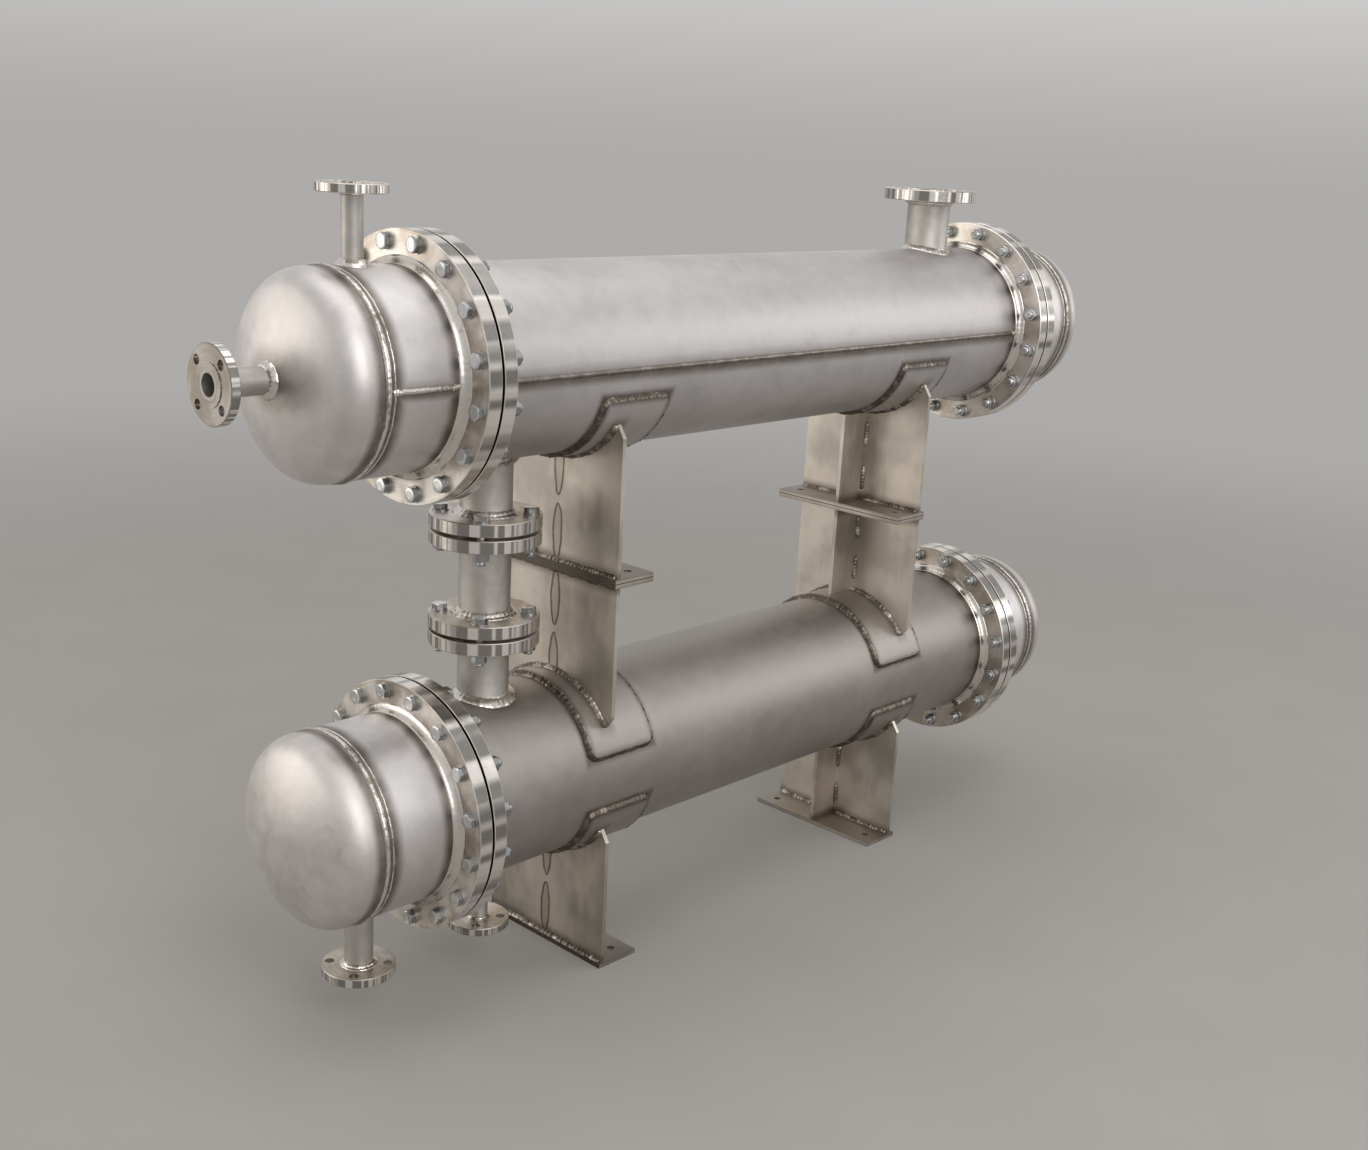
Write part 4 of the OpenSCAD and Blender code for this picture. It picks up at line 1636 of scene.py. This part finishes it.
@dataclass(frozen=True)
class Pad:
    """A wear pad that wraps the shell above (1) or below (-1) its axis, by way."""

    name: str
    exchanger: Exchanger
    way: int
    half_wrap: float = math.radians(71)
    corner: float = 0.014
    web_depth: float = 0.043
    web_half: float = 0.004
    tint_reach: float = 0.018

    @property
    def low(self) -> Vector:
        """Low corner of its box."""
        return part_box(self.name)[0]

    @property
    def high(self) -> Vector:
        """High corner of its box."""
        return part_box(self.name)[1]

    def edge_tint(self) -> PadTint:
        """Tint round the pad."""
        return PadTint(self.low.x, self.high.x, self.exchanger.axis_z, self.way, self.half_wrap,
                       self.exchanger.shell_r, reach=self.tint_reach, weight=0.95)

    def seat_tint(self) -> RingTint:
        """Tint beside the web that stands on the pad, as far as the web's tips.

        Returns:
            The tint.
        """
        front = middle_of(self.name).x < 0
        web_x = self.low.x + self.web_depth if front else self.high.x - self.web_depth
        middle_x = web_x + (self.web_half if front else -self.web_half)
        return RingTint(middle_x, 0.006, 0.152, reach=self.tint_reach, weight=0.55)


@dataclass
class PadWelds:
    """Weld all round a wear pad."""

    pad: Pad
    gap: float = 0.0003
    step: float = 0.0013
    style: WeldStyle = WeldStyle(Form.FILLET, 0.0078, 0.0068, crown=0.0007, pitch=0.0046,
                                 ripple=0.00020, wander=0.10, sink=0.0006)

    @property
    def radius(self) -> float:
        """Radius that the pad's edge is wrapped on."""
        return self.pad.exchanger.shell_r + self.gap

    def outline(self) -> tuple[np.ndarray, np.ndarray]:
        """Lays the pad's edge flat: four round corners with straight stretches between.

        Returns:
            Points (along X, along the wrap) and outward directions in the same plane.
        """
        half_l, corner = (self.pad.high.x - self.pad.low.x) / 2, self.pad.corner
        half_w = self.pad.half_wrap * self.radius
        arc_steps = int(corner * math.pi / 2 / self.step)
        arcs, normals = [], []
        for turn, (sx, sy) in enumerate(((1, 1), (-1, 1), (-1, -1), (1, -1))):
            centre = np.array([sx * (half_l - corner), sy * (half_w - corner)])
            angle = math.pi / 2 * (turn + np.linspace(0, 1, arc_steps))
            normals.append(np.stack([np.cos(angle), np.sin(angle)], axis=-1))
            arcs.append(centre + corner * normals[-1])
        loop, outward = [], []
        for arc, normal, following in zip(arcs, normals, arcs[1:] + arcs[:1]):
            start, end = arc[-1], following[0]
            count = int(np.linalg.norm(end - start) / self.step)
            share = np.linspace(0, 1, count + 2)[1:-1, None]
            loop += [arc, start + share * (end - start)]
            outward += [normal, np.tile(normal[-1], (count, 1))]
        return np.concatenate(loop), np.concatenate(outward)

    def build(self, seed: int) -> None:
        """Wraps the outline round the shell and lays the bead on it.

        Args:
            seed: Seed of the bead's irregularities.
        """
        flat, outward = self.outline()
        angle, level, way = flat[:, 1] / self.radius, np.zeros(len(flat)), self.pad.way
        out = np.stack([level, np.sin(angle), way * np.cos(angle)], axis=-1)
        wrap = np.stack([level, np.cos(angle), -way * np.sin(angle)], axis=-1)
        middle_x = middle_of(self.pad.name).x
        points = out * self.radius + np.array([middle_x, 0.0, self.pad.exchanger.axis_z])
        points[:, 0] += flat[:, 0]
        away = outward[:, :1] * np.array([1.0, 0.0, 0.0]) + outward[:, 1:] * wrap
        body = Body(f"{self.pad.name}_weld")
        body.add(self.style.bead(Track(points, out, away, True), seed))
        body.build(EDGE, Slot.SHELL)


@dataclass(frozen=True)
class Saddle:
    """A saddle under a shell (way -1) or a stand on top of one (way 1).

    Its web's open face looks along X by face_way, and the rib stands on the other side.
    """

    name: str
    exchanger: Exchanger
    way: int
    face_way: int
    plate_t: float = 0.008
    base_lip: float = 0.008
    lens_start: float = 0.06

    @property
    def outer_x(self) -> float:
        """Station of the web's open face."""
        low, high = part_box(self.name)
        return low.x + self.base_lip if self.face_way < 0 else high.x - self.base_lip

    @property
    def inner_x(self) -> float:
        """Station of the web's face on the rib's side."""
        return self.outer_x - self.face_way * self.plate_t

    @property
    def foot_z(self) -> float:
        """Height of the free face of the plate at its foot."""
        low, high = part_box(self.name)
        return low.z if self.way < 0 else high.z

    @property
    def plate_z(self) -> float:
        """Height of the plate's face that the web stands on."""
        return self.foot_z - self.way * self.plate_t

    def finish(self, colour: Colour, roughness: float) -> MillPlate:
        """The saddle's own finish."""
        return MillPlate(f"{self.name}_plate", colour, roughness, self.foot_z - self.way * self.lens_start,
                         self.outer_x, self.face_way, self.foot_z)


@dataclass
class SaddleWelds:
    """Welds of one saddle: along its seat, at its foot and down its rib."""

    saddle: Saddle
    seat_gap: float = 0.0006
    seat_sink: float = 0.0003
    seat_end: float = 0.01
    seat_step: float = 0.001
    pad_t: float = 0.008
    tip_w: float = 0.015
    base_end: float = 0.004
    foot_end: float = 0.004
    rib_clear: float = 0.010
    rib_end: float = 0.004
    stitch_pitch: float = 0.118
    stitch_half: float = 0.026
    seat: WeldStyle = WeldStyle(Form.FILLET, 0.0062, 0.0062, crown=0.0005, pitch=0.0046,
                                ripple=0.00035, wander=0.10, sink=0.0008)
    stitch: WeldStyle = WeldStyle(Form.FILLET, 0.0060, 0.0060, crown=0.0008, pitch=0.0042,
                                  ripple=0.00040, wander=0.06, sink=0.0008, taper=0.010)
    foot: WeldStyle = WeldStyle(Form.FILLET, 0.0058, 0.0054, crown=0.0007, pitch=0.0044,
                                ripple=0.00030, wander=0.16, sink=0.0008, taper=0.010)

    @property
    def seat_r(self) -> float:
        """Radius of the seat under the pad."""
        return self.saddle.exchanger.shell_r + self.pad_t + self.seat_gap

    @property
    def half_w(self) -> float:
        """Half of the web's width."""
        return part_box(self.saddle.name)[1].y - self.base_end

    def seat_track(self, x: float, side: int) -> Track:
        """Follows the seat from tip to tip.

        Args:
            x: Station of the web's face.
            side: Direction along X away from the web.

        Returns:
            A track with its sides along the pad and along the web.
        """
        reach = math.asin((self.half_w - self.tip_w) / self.seat_r) - self.seat_end
        count = int(2 * reach * self.seat_r / self.seat_step)
        angle = np.linspace(-reach, reach, count)
        out = np.stack([np.zeros(count), np.sin(angle), self.saddle.way * np.cos(angle)], axis=-1)
        middle = np.array([x, 0.0, self.saddle.exchanger.axis_z])
        points = out * (self.seat_r - self.seat_sink) + middle
        return Track(points, repeated((side, 0.0, 0.0), count), out)

    def add_feet(self, body: Body, seed: int) -> None:
        """Adds the beads along the foot: one in front, one behind on each side of the rib.

        Args:
            body: The mesh that collects them.
            seed: Seed of the beads' irregularities.
        """
        saddle, reach = self.saddle, self.half_w - self.foot_end
        runs = ((saddle.outer_x, saddle.face_way, -reach, reach),
                (saddle.inner_x, -saddle.face_way, -reach, -self.rib_clear),
                (saddle.inner_x, -saddle.face_way, self.rib_clear, reach))
        for offset, (x, side, y_from, y_to) in enumerate(runs):
            track = Track.straight((x, y_from, saddle.plate_z), (x, y_to, saddle.plate_z),
                                   (side, 0, 0), (0, 0, -saddle.way))
            body.add(self.foot.bead(track, seed + offset))

    def add_stitches(self, body: Body, seed: int) -> None:
        """Adds the short beads on both sides of the rib.

        Args:
            body: The mesh that collects them.
            seed: Seed of the beads' irregularities.
        """
        saddle = self.saddle
        rib_top = saddle.exchanger.axis_z + saddle.way * (self.seat_r + self.rib_end)
        span = abs(rib_top - saddle.plate_z)
        count = max(2, round(span / self.stitch_pitch))
        for i in range(count):
            middle = saddle.plate_z - saddle.way * span * (i + 0.5) / count
            low, high = middle - self.stitch_half, middle + self.stitch_half
            for side in (-1, 1):
                y = side * saddle.plate_t / 2
                track = Track.straight((saddle.inner_x, y, low), (saddle.inner_x, y, high),
                                       (-saddle.face_way, 0, 0), (0, side, 0))
                body.add(self.stitch.bead(track, seed + 2 * i + side))

    def build(self, seed: int) -> None:
        """All welds of the saddle as one piece.

        Args:
            seed: Seed of the beads' irregularities.
        """
        saddle = self.saddle
        body = Body(f"{saddle.name}_welds")
        self.add_feet(body, seed + 10)
        faces = ((saddle.outer_x, saddle.face_way), (saddle.inner_x, -saddle.face_way))
        for offset, (x, side) in enumerate(faces):
            body.add(self.seat.bead(self.seat_track(x, side), seed + offset))
        self.add_stitches(body, seed + 30)
        body.build(FOOT, Slot.SADDLE)


def dress(node: str, finish: Finish) -> None:
    """Puts a finish on a CAD node and smooths its rounded faces.

    Args:
        node: Name of the node.
        finish: Its finish.
    """
    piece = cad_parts[node]
    mesh = piece.data
    baked = mesh.attributes.get("custom_normal")
    if baked:
        mesh.attributes.remove(baked)
    mesh.shade_smooth()
    mesh.materials.clear()
    mesh.materials.append(finish.material())
    piece.modifiers.new("join_faces", "WELD").merge_threshold = 0.00001
    piece.modifiers.new("keep_edges", "EDGE_SPLIT").split_angle = CRISP
    LOG.info("%s: dressed in %s", node, finish.name)


@dataclass
class Vessel:
    """Shell, channels, heads, flanges, gaskets and wear pads of one exchanger."""

    exchanger: Exchanger
    nozzles: Sequence[Nozzle]
    pads: Sequence[Pad]
    plate_colour: Colour
    plate_rough: float = 0.50
    pad_rough: float = 0.46
    channel_colour: Colour = (0.69, 0.668, 0.662)
    channel_rough: float = 0.48
    head_colour: Colour = (0.68, 0.652, 0.638)
    head_rough: float = 0.49
    head_spread: float = 0.08
    flange_rough: float = 0.24
    # Painted light: lightens the painted reflections on the main flanges' faces.
    flange_face: float = 1.15
    gap_clear: float = 0.0002
    seam_half: float = 0.006
    cove_weight: float = 0.85
    seam_weight: float = 0.95

    def dress(self) -> None:
        """Dresses all its nodes."""
        self._shell()
        self._channels()
        self._heads()
        self._joints()
        for pad in self.pads:
            tints = (pad.seat_tint(), pad.edge_tint())
            finish = PickledPlate(f"{pad.name}_plate", self.plate_colour, self.pad_rough, tints)
            dress(pad.name, finish)

    def _tints(self, stations: Sequence[float], seam: SeamTint, *, cove_reach: float,
               nozzle_reach: float, nozzle_weight: float, on_shell: bool) -> tuple[Tint, ...]:
        """Tints of the flange welds, of the long seam and of the nozzles on a wall.

        Args:
            stations: Where the coved welds end, along X.
            seam: Tint of the long seam.
            cove_reach: Reach of the coved welds' tint.
            nozzle_reach: Reach of the nozzles' tint.
            nozzle_weight: Strength of the nozzles' tint.
            on_shell: Whether the wall is the shell; otherwise it is the front channel.

        Returns:
            The tints.
        """
        vessel = self.exchanger
        rings = [RingTint(x, reach=cove_reach, weight=self.cove_weight) for x in stations]
        feet = [NozzleTint(nozzle.x, vessel.axis_z, nozzle.pipe.radius, nozzle.way,
                           reach=nozzle_reach, weight=nozzle_weight)
                for nozzle in self.nozzles if (nozzle.x > vessel.front_x) == on_shell]
        return (*rings, seam, *feet)

    def _shell(self) -> None:
        """Dresses the shell."""
        vessel = self.exchanger
        start, end = vessel.front_x + vessel.cove_reach, vessel.rear_x - vessel.cove_reach
        seam = SeamTint(vessel.seam_z, start, end, vessel.seam_side, reach=0.024,
                        weight=self.seam_weight)
        tints = self._tints((start, end), seam, cove_reach=0.026, nozzle_reach=0.030,
                            nozzle_weight=0.55, on_shell=True)
        tints += tuple(pad.edge_tint() for pad in self.pads)
        name = f"{vessel.name}_shell"
        dress(name, PickledPlate(f"{name}_plate", self.plate_colour, self.plate_rough, tints))

    def _seam_rings(self, reach: float, weight: float) -> tuple[RingTint, RingTint]:
        """Tints of the two head seams."""
        stations = (self.exchanger.front_seam_x, self.exchanger.rear_seam_x)
        return tuple(RingTint(x, self.seam_half, reach=reach, weight=weight) for x in stations)

    def _channels(self) -> None:
        """Dresses both channels."""
        vessel = self.exchanger
        start, end = vessel.front_x - vessel.cove_reach, vessel.rear_x + vessel.cove_reach
        seam = SeamTint(vessel.seam_z, vessel.front_seam_x, start, vessel.seam_side,
                        reach=0.020, weight=self.seam_weight)
        tints = self._seam_rings(reach=0.030, weight=0.95)
        tints += self._tints((start, end), seam, cove_reach=0.024, nozzle_reach=0.024,
                             nozzle_weight=0.5, on_shell=False)
        finish = PickledPlate(f"{vessel.name}_channel_plate", self.channel_colour,
                              self.channel_rough, tints)
        for place in End:
            dress(f"{vessel.name}_{place.value}_channel", finish)

    def _heads(self) -> None:
        """Dresses both heads; the one with a nozzle on its crown is browned round it, partly as painted
        shade.
        """
        # On the heads the seam tints are partly heat tint and partly a painted dark reflection beside the
        # seam.
        vessel, tints = self.exchanger, self._seam_rings(reach=0.022, weight=0.90)
        # Painted shade and browning round the end nozzle.
        crown = CrownTintAndShade(vessel.axis_z, reach=0.062, weight=0.55)
        for end in End:
            node = f"{vessel.name}_{end.value}_head"
            crowned = vessel.level is Level.UPPER and end is End.FRONT
            name = f"{node}_plate" if crowned else f"{vessel.name}_head_plate"
            finish = PickledPlate(name, self.head_colour, self.head_rough,
                                  (*tints, crown) if crowned else tints,
                                  spread=self.head_spread, brushed=1.0)
            dress(node, finish)

    def _joints(self) -> None:
        """Dresses flanges, tubesheets and gaskets."""
        vessel = self.exchanger
        joints = (vessel.front_x, vessel.rear_x)
        faces = tuple(joint_x + side * depth for joint_x in joints for side in (-1, 1)
                      for depth in (vessel.joint_half, vessel.flange_reach))
        finish = TurnedFlange(f"{vessel.name}_main_flange", FLANGE_COLOUR, self.flange_rough,
                              centre=(0.0, 0.0, vessel.axis_z), face=self.flange_face, gaps=joints,
                              gap_half=vessel.joint_half + self.gap_clear, lines=faces)
        for end in End:
            start = f"{vessel.name}_{end.value}"
            dress(f"{start}_flange", finish)
            dress(f"{start}_tubesheet", finish)
            dress(f"{start}_gasket", GASKET)


@dataclass
class Piping:
    """Nozzles and joining pipe."""

    nozzles: dict[str, Nozzle]
    end_pipe: Pipe
    end_z: float
    rough: float = 0.26
    # Painted shade: darkens the painted reflections on the end nozzle's flange face.
    end_face_painted_shade: float = 0.50
    bar_relief: float = 0.0015
    bars: Clouds = Clouds(7.0, 1.0, 0.4)

    def _finish(self, name: str, x: float, pipe: Pipe) -> TurnedFlange:
        """Finish of an upright flanged pipe.

        Args:
            name: Name of its node.
            x: Place of its axis.
            pipe: Its pipe.

        Returns:
            The finish.
        """
        return TurnedFlange(f"{name}_finish", FLANGE_COLOUR, self.rough, turn=Turn.UPRIGHT,
                            centre=(x, 0.0, 0.0), bar_relief=self.bar_relief, pipe_r=pipe.radius,
                            bars=self.bars)

    def dress(self) -> None:
        """Dresses all of them."""
        for name, nozzle in self.nozzles.items():
            dress(name, self._finish(name, nozzle.x, nozzle.pipe))
        neck = self.nozzles["upper_neck"]
        dress("spool", self._finish("spool", neck.x, neck.pipe))
        dress("spool_gaskets", GASKET)
        end = TurnedFlange("end_nozzle_finish", FLANGE_COLOUR, self.rough,
                           centre=(0.0, 0.0, self.end_z), face=self.end_face_painted_shade,
                           bar_relief=self.bar_relief, pipe_r=self.end_pipe.radius, bars=self.bars)
        dress("end_nozzle", end)


@dataclass
class Studio:
    """Pale floor, pale surroundings and soft lamps."""

    floor_colour: Colour = (0.43, 0.413, 0.395)
    floor_half: float = 12.0
    floor_drop: float = 0.0004
    mottle: Clouds = Clouds(3.0, 3.0)
    mottle_span: Span = (0.3, 0.7)
    mottle_shade: float = 0.97
    fade_span: Span = (1.5, 6.5)
    ground: Colour = (0.42, 0.41, 0.398)
    backdrop: Colour = (0.69, 0.682, 0.67)
    horizon_span: Span = (-0.03, 0.16)
    light_share: float = 0.80
    target: Triple = (-0.3, 0.0, 0.85)
    warm: Colour = (1.0, 0.94, 0.86)
    white: Colour = (1.0, 0.99, 0.985)

    def floor(self) -> None:
        """Level floor that fades into the backdrop far away from the object."""
        half, low = self.floor_half, -self.floor_drop
        corners = [(sx * half, sy * half, low) for sx, sy in ((-1, -1), (1, -1), (1, 1), (-1, 1))]
        mesh = bpy.data.meshes.new("floor")
        mesh.from_pydata(corners, [], [(0, 1, 2, 3)])
        material = bpy.data.materials.new("studio_floor")
        material.use_nodes = True
        graph = Graph(material.node_tree)
        spot = Spot.of(graph)
        mottle = graph.noise(spot.place, self.mottle).rise(*self.mottle_span)
        darker = tuple(self.mottle_shade * part for part in self.floor_colour)
        tone = graph.mix(mottle, darker, self.floor_colour)
        matt = graph.node("ShaderNodeBsdfDiffuse", None, {"Color": tone})
        clear = graph.node("ShaderNodeBsdfTransparent")
        fade = graph.across(spot.x, spot.y).rise(*self.fade_span)
        mixed = graph.node("ShaderNodeMixShader", None, {0: fade, 1: matt, 2: clear})
        graph.node("ShaderNodeOutputMaterial", None, {"Surface": mixed})
        mesh.materials.append(material)
        floor = bpy.data.objects.new("floor", mesh)
        bpy.context.scene.collection.objects.link(floor)

    def surroundings(self) -> None:
        """Pale world over the ground's own tone, plain in reflections and softer as a light."""
        world = bpy.data.worlds.new("studio")
        bpy.context.scene.world = world
        world.use_nodes = True
        graph = Graph(world.node_tree)
        path = graph.node("ShaderNodeLightPath")
        seen = (path.out("Is Camera Ray") + path.out("Is Glossy Ray")
                + path.out("Is Transmission Ray")).rise(0.0, 1.0)
        strength = self.light_share + (1 - self.light_share) * seen
        way = graph.node("ShaderNodeTexCoord").out("Generated")
        lift = graph.node("ShaderNodeSeparateXYZ", None, {0: way}).out("Z")
        colour = graph.mix(lift.rise(*self.horizon_span), self.ground, self.backdrop)
        back = graph.node("ShaderNodeBackground", None, {"Color": colour, "Strength": strength})
        graph.node("ShaderNodeOutputWorld", None, {"Surface": back})

    def lamp(self, name: str, azimuth: float, elevation: float, distance: float,
             size: tuple[float, float], radiance: float, colour: Colour) -> None:
        """A soft rectangular lamp that shines at the object.

        Args:
            name: The lamp's name.
            azimuth: Direction of the lamp from the target, in degrees from +X towards +Y.
            elevation: Height of that direction above the horizon, in degrees.
            distance: Metres from the target.
            size: Width and height in metres.
            radiance: Brightness of its face.
            colour: Colour of its light.
        """
        data = bpy.data.lights.new(name, "AREA")
        data.shape = "RECTANGLE"
        data.size, data.size_y = size
        data.energy = radiance * math.pi * size[0] * size[1]
        data.color = colour
        turn, lift = math.radians(azimuth), math.radians(elevation)
        back = Vector((math.cos(turn) * math.cos(lift), math.sin(turn) * math.cos(lift), math.sin(lift)))
        lamp = bpy.data.objects.new(name, data)
        lamp.location = Vector(self.target) + back * distance
        lamp.rotation_mode = "QUATERNION"
        lamp.rotation_quaternion = back.to_track_quat("Z", "Y")
        lamp.visible_camera = False
        bpy.context.scene.collection.objects.link(lamp)

    def build(self) -> None:
        """Floor, surroundings and lamps."""
        self.floor()
        self.surroundings()
        self.lamp("overhead", 20.0, 86.0, 3.2, (3.6, 3.2), 1.0, self.white)
        self.lamp("warm_side", 142.0, 8.0, 3.8, (3.0, 2.5), 1.25, self.warm)
        self.lamp("bright_side", -104.0, 26.0, 4.4, (2.6, 3.4), 2.1, self.white)
        self.lamp("far_side", -35.0, 16.0, 4.4, (1.6, 2.2), 1.7, self.white)
        bpy.context.scene.view_settings.view_transform = "Standard"


@dataclass
class PhotoCamera:
    """Camera at the photograph's place, turn and field of view."""

    place: Triple = (-2.2582, -2.0328, 1.4858)
    yaw: float = 42.9796
    pitch: float = -16.0331
    roll: float = 3.1140
    focal: float = 42.386
    sensor: float = 36.0
    shift: tuple[float, float] = (0.0037, 0.0099)
    clip: Span = (0.05, 100.0)

    def build(self) -> None:
        """Makes the camera and hands it to the scene."""
        yaw, pitch, roll = (math.radians(angle) for angle in (self.yaw, self.pitch, self.roll))
        ahead = Vector((math.cos(yaw) * math.cos(pitch), math.sin(yaw) * math.cos(pitch),
                        math.sin(pitch)))
        right = ahead.cross(Vector((0, 0, 1))).normalized()
        up = right.cross(ahead)
        side = math.cos(roll) * right + math.sin(roll) * up
        top = math.cos(roll) * up - math.sin(roll) * right
        data = bpy.data.cameras.new("photo_camera")
        data.lens, data.sensor_width = self.focal, self.sensor
        data.shift_x, data.shift_y = self.shift
        data.clip_start, data.clip_end = self.clip
        camera = bpy.data.objects.new("photo_camera", data)
        turn = Matrix((side, top, -ahead)).transposed()
        camera.matrix_world = Matrix.Translation(self.place) @ turn.to_4x4()
        bpy.context.scene.collection.objects.link(camera)
        bpy.context.scene.camera = camera


@dataclass
class Stack:
    """The whole stack: both exchangers with their nozzles, pads and saddles."""

    upper: Exchanger
    lower: Exchanger
    hardware: Hardware = Hardware()
    narrow: Pipe = Pipe(0.0167, 0.0158)
    end_pipe: Pipe = Pipe(0.0211, 0.017)
    middling: Pipe = Pipe(0.02415, 0.0175)
    wide: Pipe = Pipe(0.04445, 0.0239)
    spool_bolt_edge: float = 0.01905
    long_foot: float = 0.0140
    bright: Colour = (0.565, 0.545, 0.54)
    # The lower exchanger's plate is darker, partly its own duller finish and partly painted shade.
    dull_and_shaded: Colour = (0.39, 0.362, 0.343)
    web_colour: Colour = (0.61, 0.562, 0.50)
    web_rough: float = 0.44
    spool_bolt_seeds: tuple[int, int] = (31, 32)
    spool_weld_seed: int = 41
    bolt_seed: int = 100
    joint_seed: int = 200
    seam_seed: int = 300
    pad_seed: int = 400
    nozzle_seed: int = 500
    end_seed: int = 550
    saddle_seed: int = 600

    @property
    def exchangers(self) -> tuple[Exchanger, Exchanger]:
        """Both exchangers, the upper one first."""
        return self.upper, self.lower

    def nozzles(self) -> dict[str, Nozzle]:
        """Lists the upright nozzles.

        Returns:
            Nozzles by the names of their nodes.
        """
        rows = (
            ("vent_nozzle", self.upper, self.narrow, 1), ("top_nozzle", self.upper, self.wide, 1),
            ("upper_neck", self.upper, self.wide, -1), ("lower_neck", self.lower, self.wide, 1),
            ("channel_drain_nozzle", self.lower, self.middling, -1),
            ("shell_drain_nozzle", self.lower, self.narrow, -1),
        )
        return {row[0]: Nozzle(*row) for row in rows}

    def pads(self, exchanger: Exchanger) -> list[Pad]:
        """Lists the wear pads of one exchanger.

        Args:
            exchanger: The upper or the lower one.

        Returns:
            Its pads.
        """
        rows = {
            Level.UPPER: (("upper_front_pad", -1), ("upper_rear_pad", -1)),
            Level.LOWER: (("front_stand_pad", 1), ("rear_stand_pad", 1), ("lower_front_pad", -1),
                          ("lower_rear_pad", -1)),
        }
        return [Pad(name, exchanger, way) for name, way in rows[exchanger.level]]

    def saddles(self) -> list[Saddle]:
        """Lists the saddles and stands.

        Returns:
            Those of the upper exchanger, then those of the lower one.
        """
        rows = (
            ("upper_front_saddle", self.upper, -1, -1), ("upper_rear_saddle", self.upper, -1, 1),
            ("front_stand", self.lower, 1, -1), ("rear_stand", self.lower, 1, 1),
            ("lower_front_saddle", self.lower, -1, -1), ("lower_rear_saddle", self.lower, -1, 1),
        )
        return [Saddle(*row) for row in rows]

    def dress(self) -> None:
        """Dresses every CAD node."""
        nozzles = self.nozzles()
        for exchanger, colour in zip(self.exchangers, (self.bright, self.dull_and_shaded)):
            own = [nozzle for nozzle in nozzles.values() if nozzle.exchanger is exchanger]
            Vessel(exchanger, own, self.pads(exchanger), colour).dress()
        Piping(nozzles, self.end_pipe, self.upper.axis_z).dress()
        for saddle in self.saddles():
            dress(saddle.name, saddle.finish(self.web_colour, self.web_rough))

    def build_joints(self) -> None:
        """Bolts of all joints, and the welds that go with the main ones."""
        for index, exchanger in enumerate(self.exchangers):
            for offset, end in enumerate(End):
                joint = MainJoint(exchanger, end, self.hardware)
                joint.build_bolts(self.bolt_seed + 10 * index + offset)
                joint.build_welds(self.joint_seed + 20 * index + 8 * offset)
        self._build_spool()

    def _build_spool(self) -> None:
        """Bolts and welds of the joining pipe, between the backs of its own flanges."""
        neck, foot = self.nozzles()["upper_neck"], self.nozzles()["lower_neck"]
        low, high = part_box("spool")
        bolt_r = (high.y - low.y) / 2 - self.spool_bolt_edge
        backs = (low.z + self.wide.flange_t, high.z - self.wide.flange_t)
        rows = (("upper_spool_bolts", neck.back_z, backs[1]),
                ("lower_spool_bolts", backs[0], foot.back_z))
        for seed, (name, top, bottom) in zip(self.spool_bolt_seeds, rows):
            SpoolJoint(name, neck.x, top, top - bottom, bolt_r, self.hardware).build(seed)
        SpoolWelds(neck.x, backs, self.wide).build(self.spool_weld_seed)

    def build_welds(self) -> None:
        """All other welds."""
        for index, exchanger in enumerate(self.exchangers):
            LongSeams(exchanger).build(self.seam_seed + 20 * index)
            for offset, pad in enumerate(self.pads(exchanger)):
                PadWelds(pad).build(self.pad_seed + 10 * index + offset)
        for offset, nozzle in enumerate(self.nozzles().values()):
            welds = NozzleWelds(nozzle)
            if nozzle.name == "lower_neck":
                welds = NozzleWelds(nozzle, self.long_foot)
            welds.build(self.nozzle_seed + 4 * offset)
        EndNozzleWelds(self.upper, self.end_pipe).build(self.end_seed)
        for offset, saddle in enumerate(self.saddles()):
            SaddleWelds(saddle).build(self.saddle_seed + 60 * offset)


def main() -> None:
    """Builds the pieces in order."""
    logging.basicConfig(level=logging.INFO, format="%(message)s")
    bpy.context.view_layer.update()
    stack = Stack(Exchanger.read(Level.UPPER), Exchanger.read(Level.LOWER))
    stack.dress()
    stack.build_joints()
    stack.build_welds()
    Studio().build()
    PhotoCamera().build()


if __name__ == "__main__":
    main()
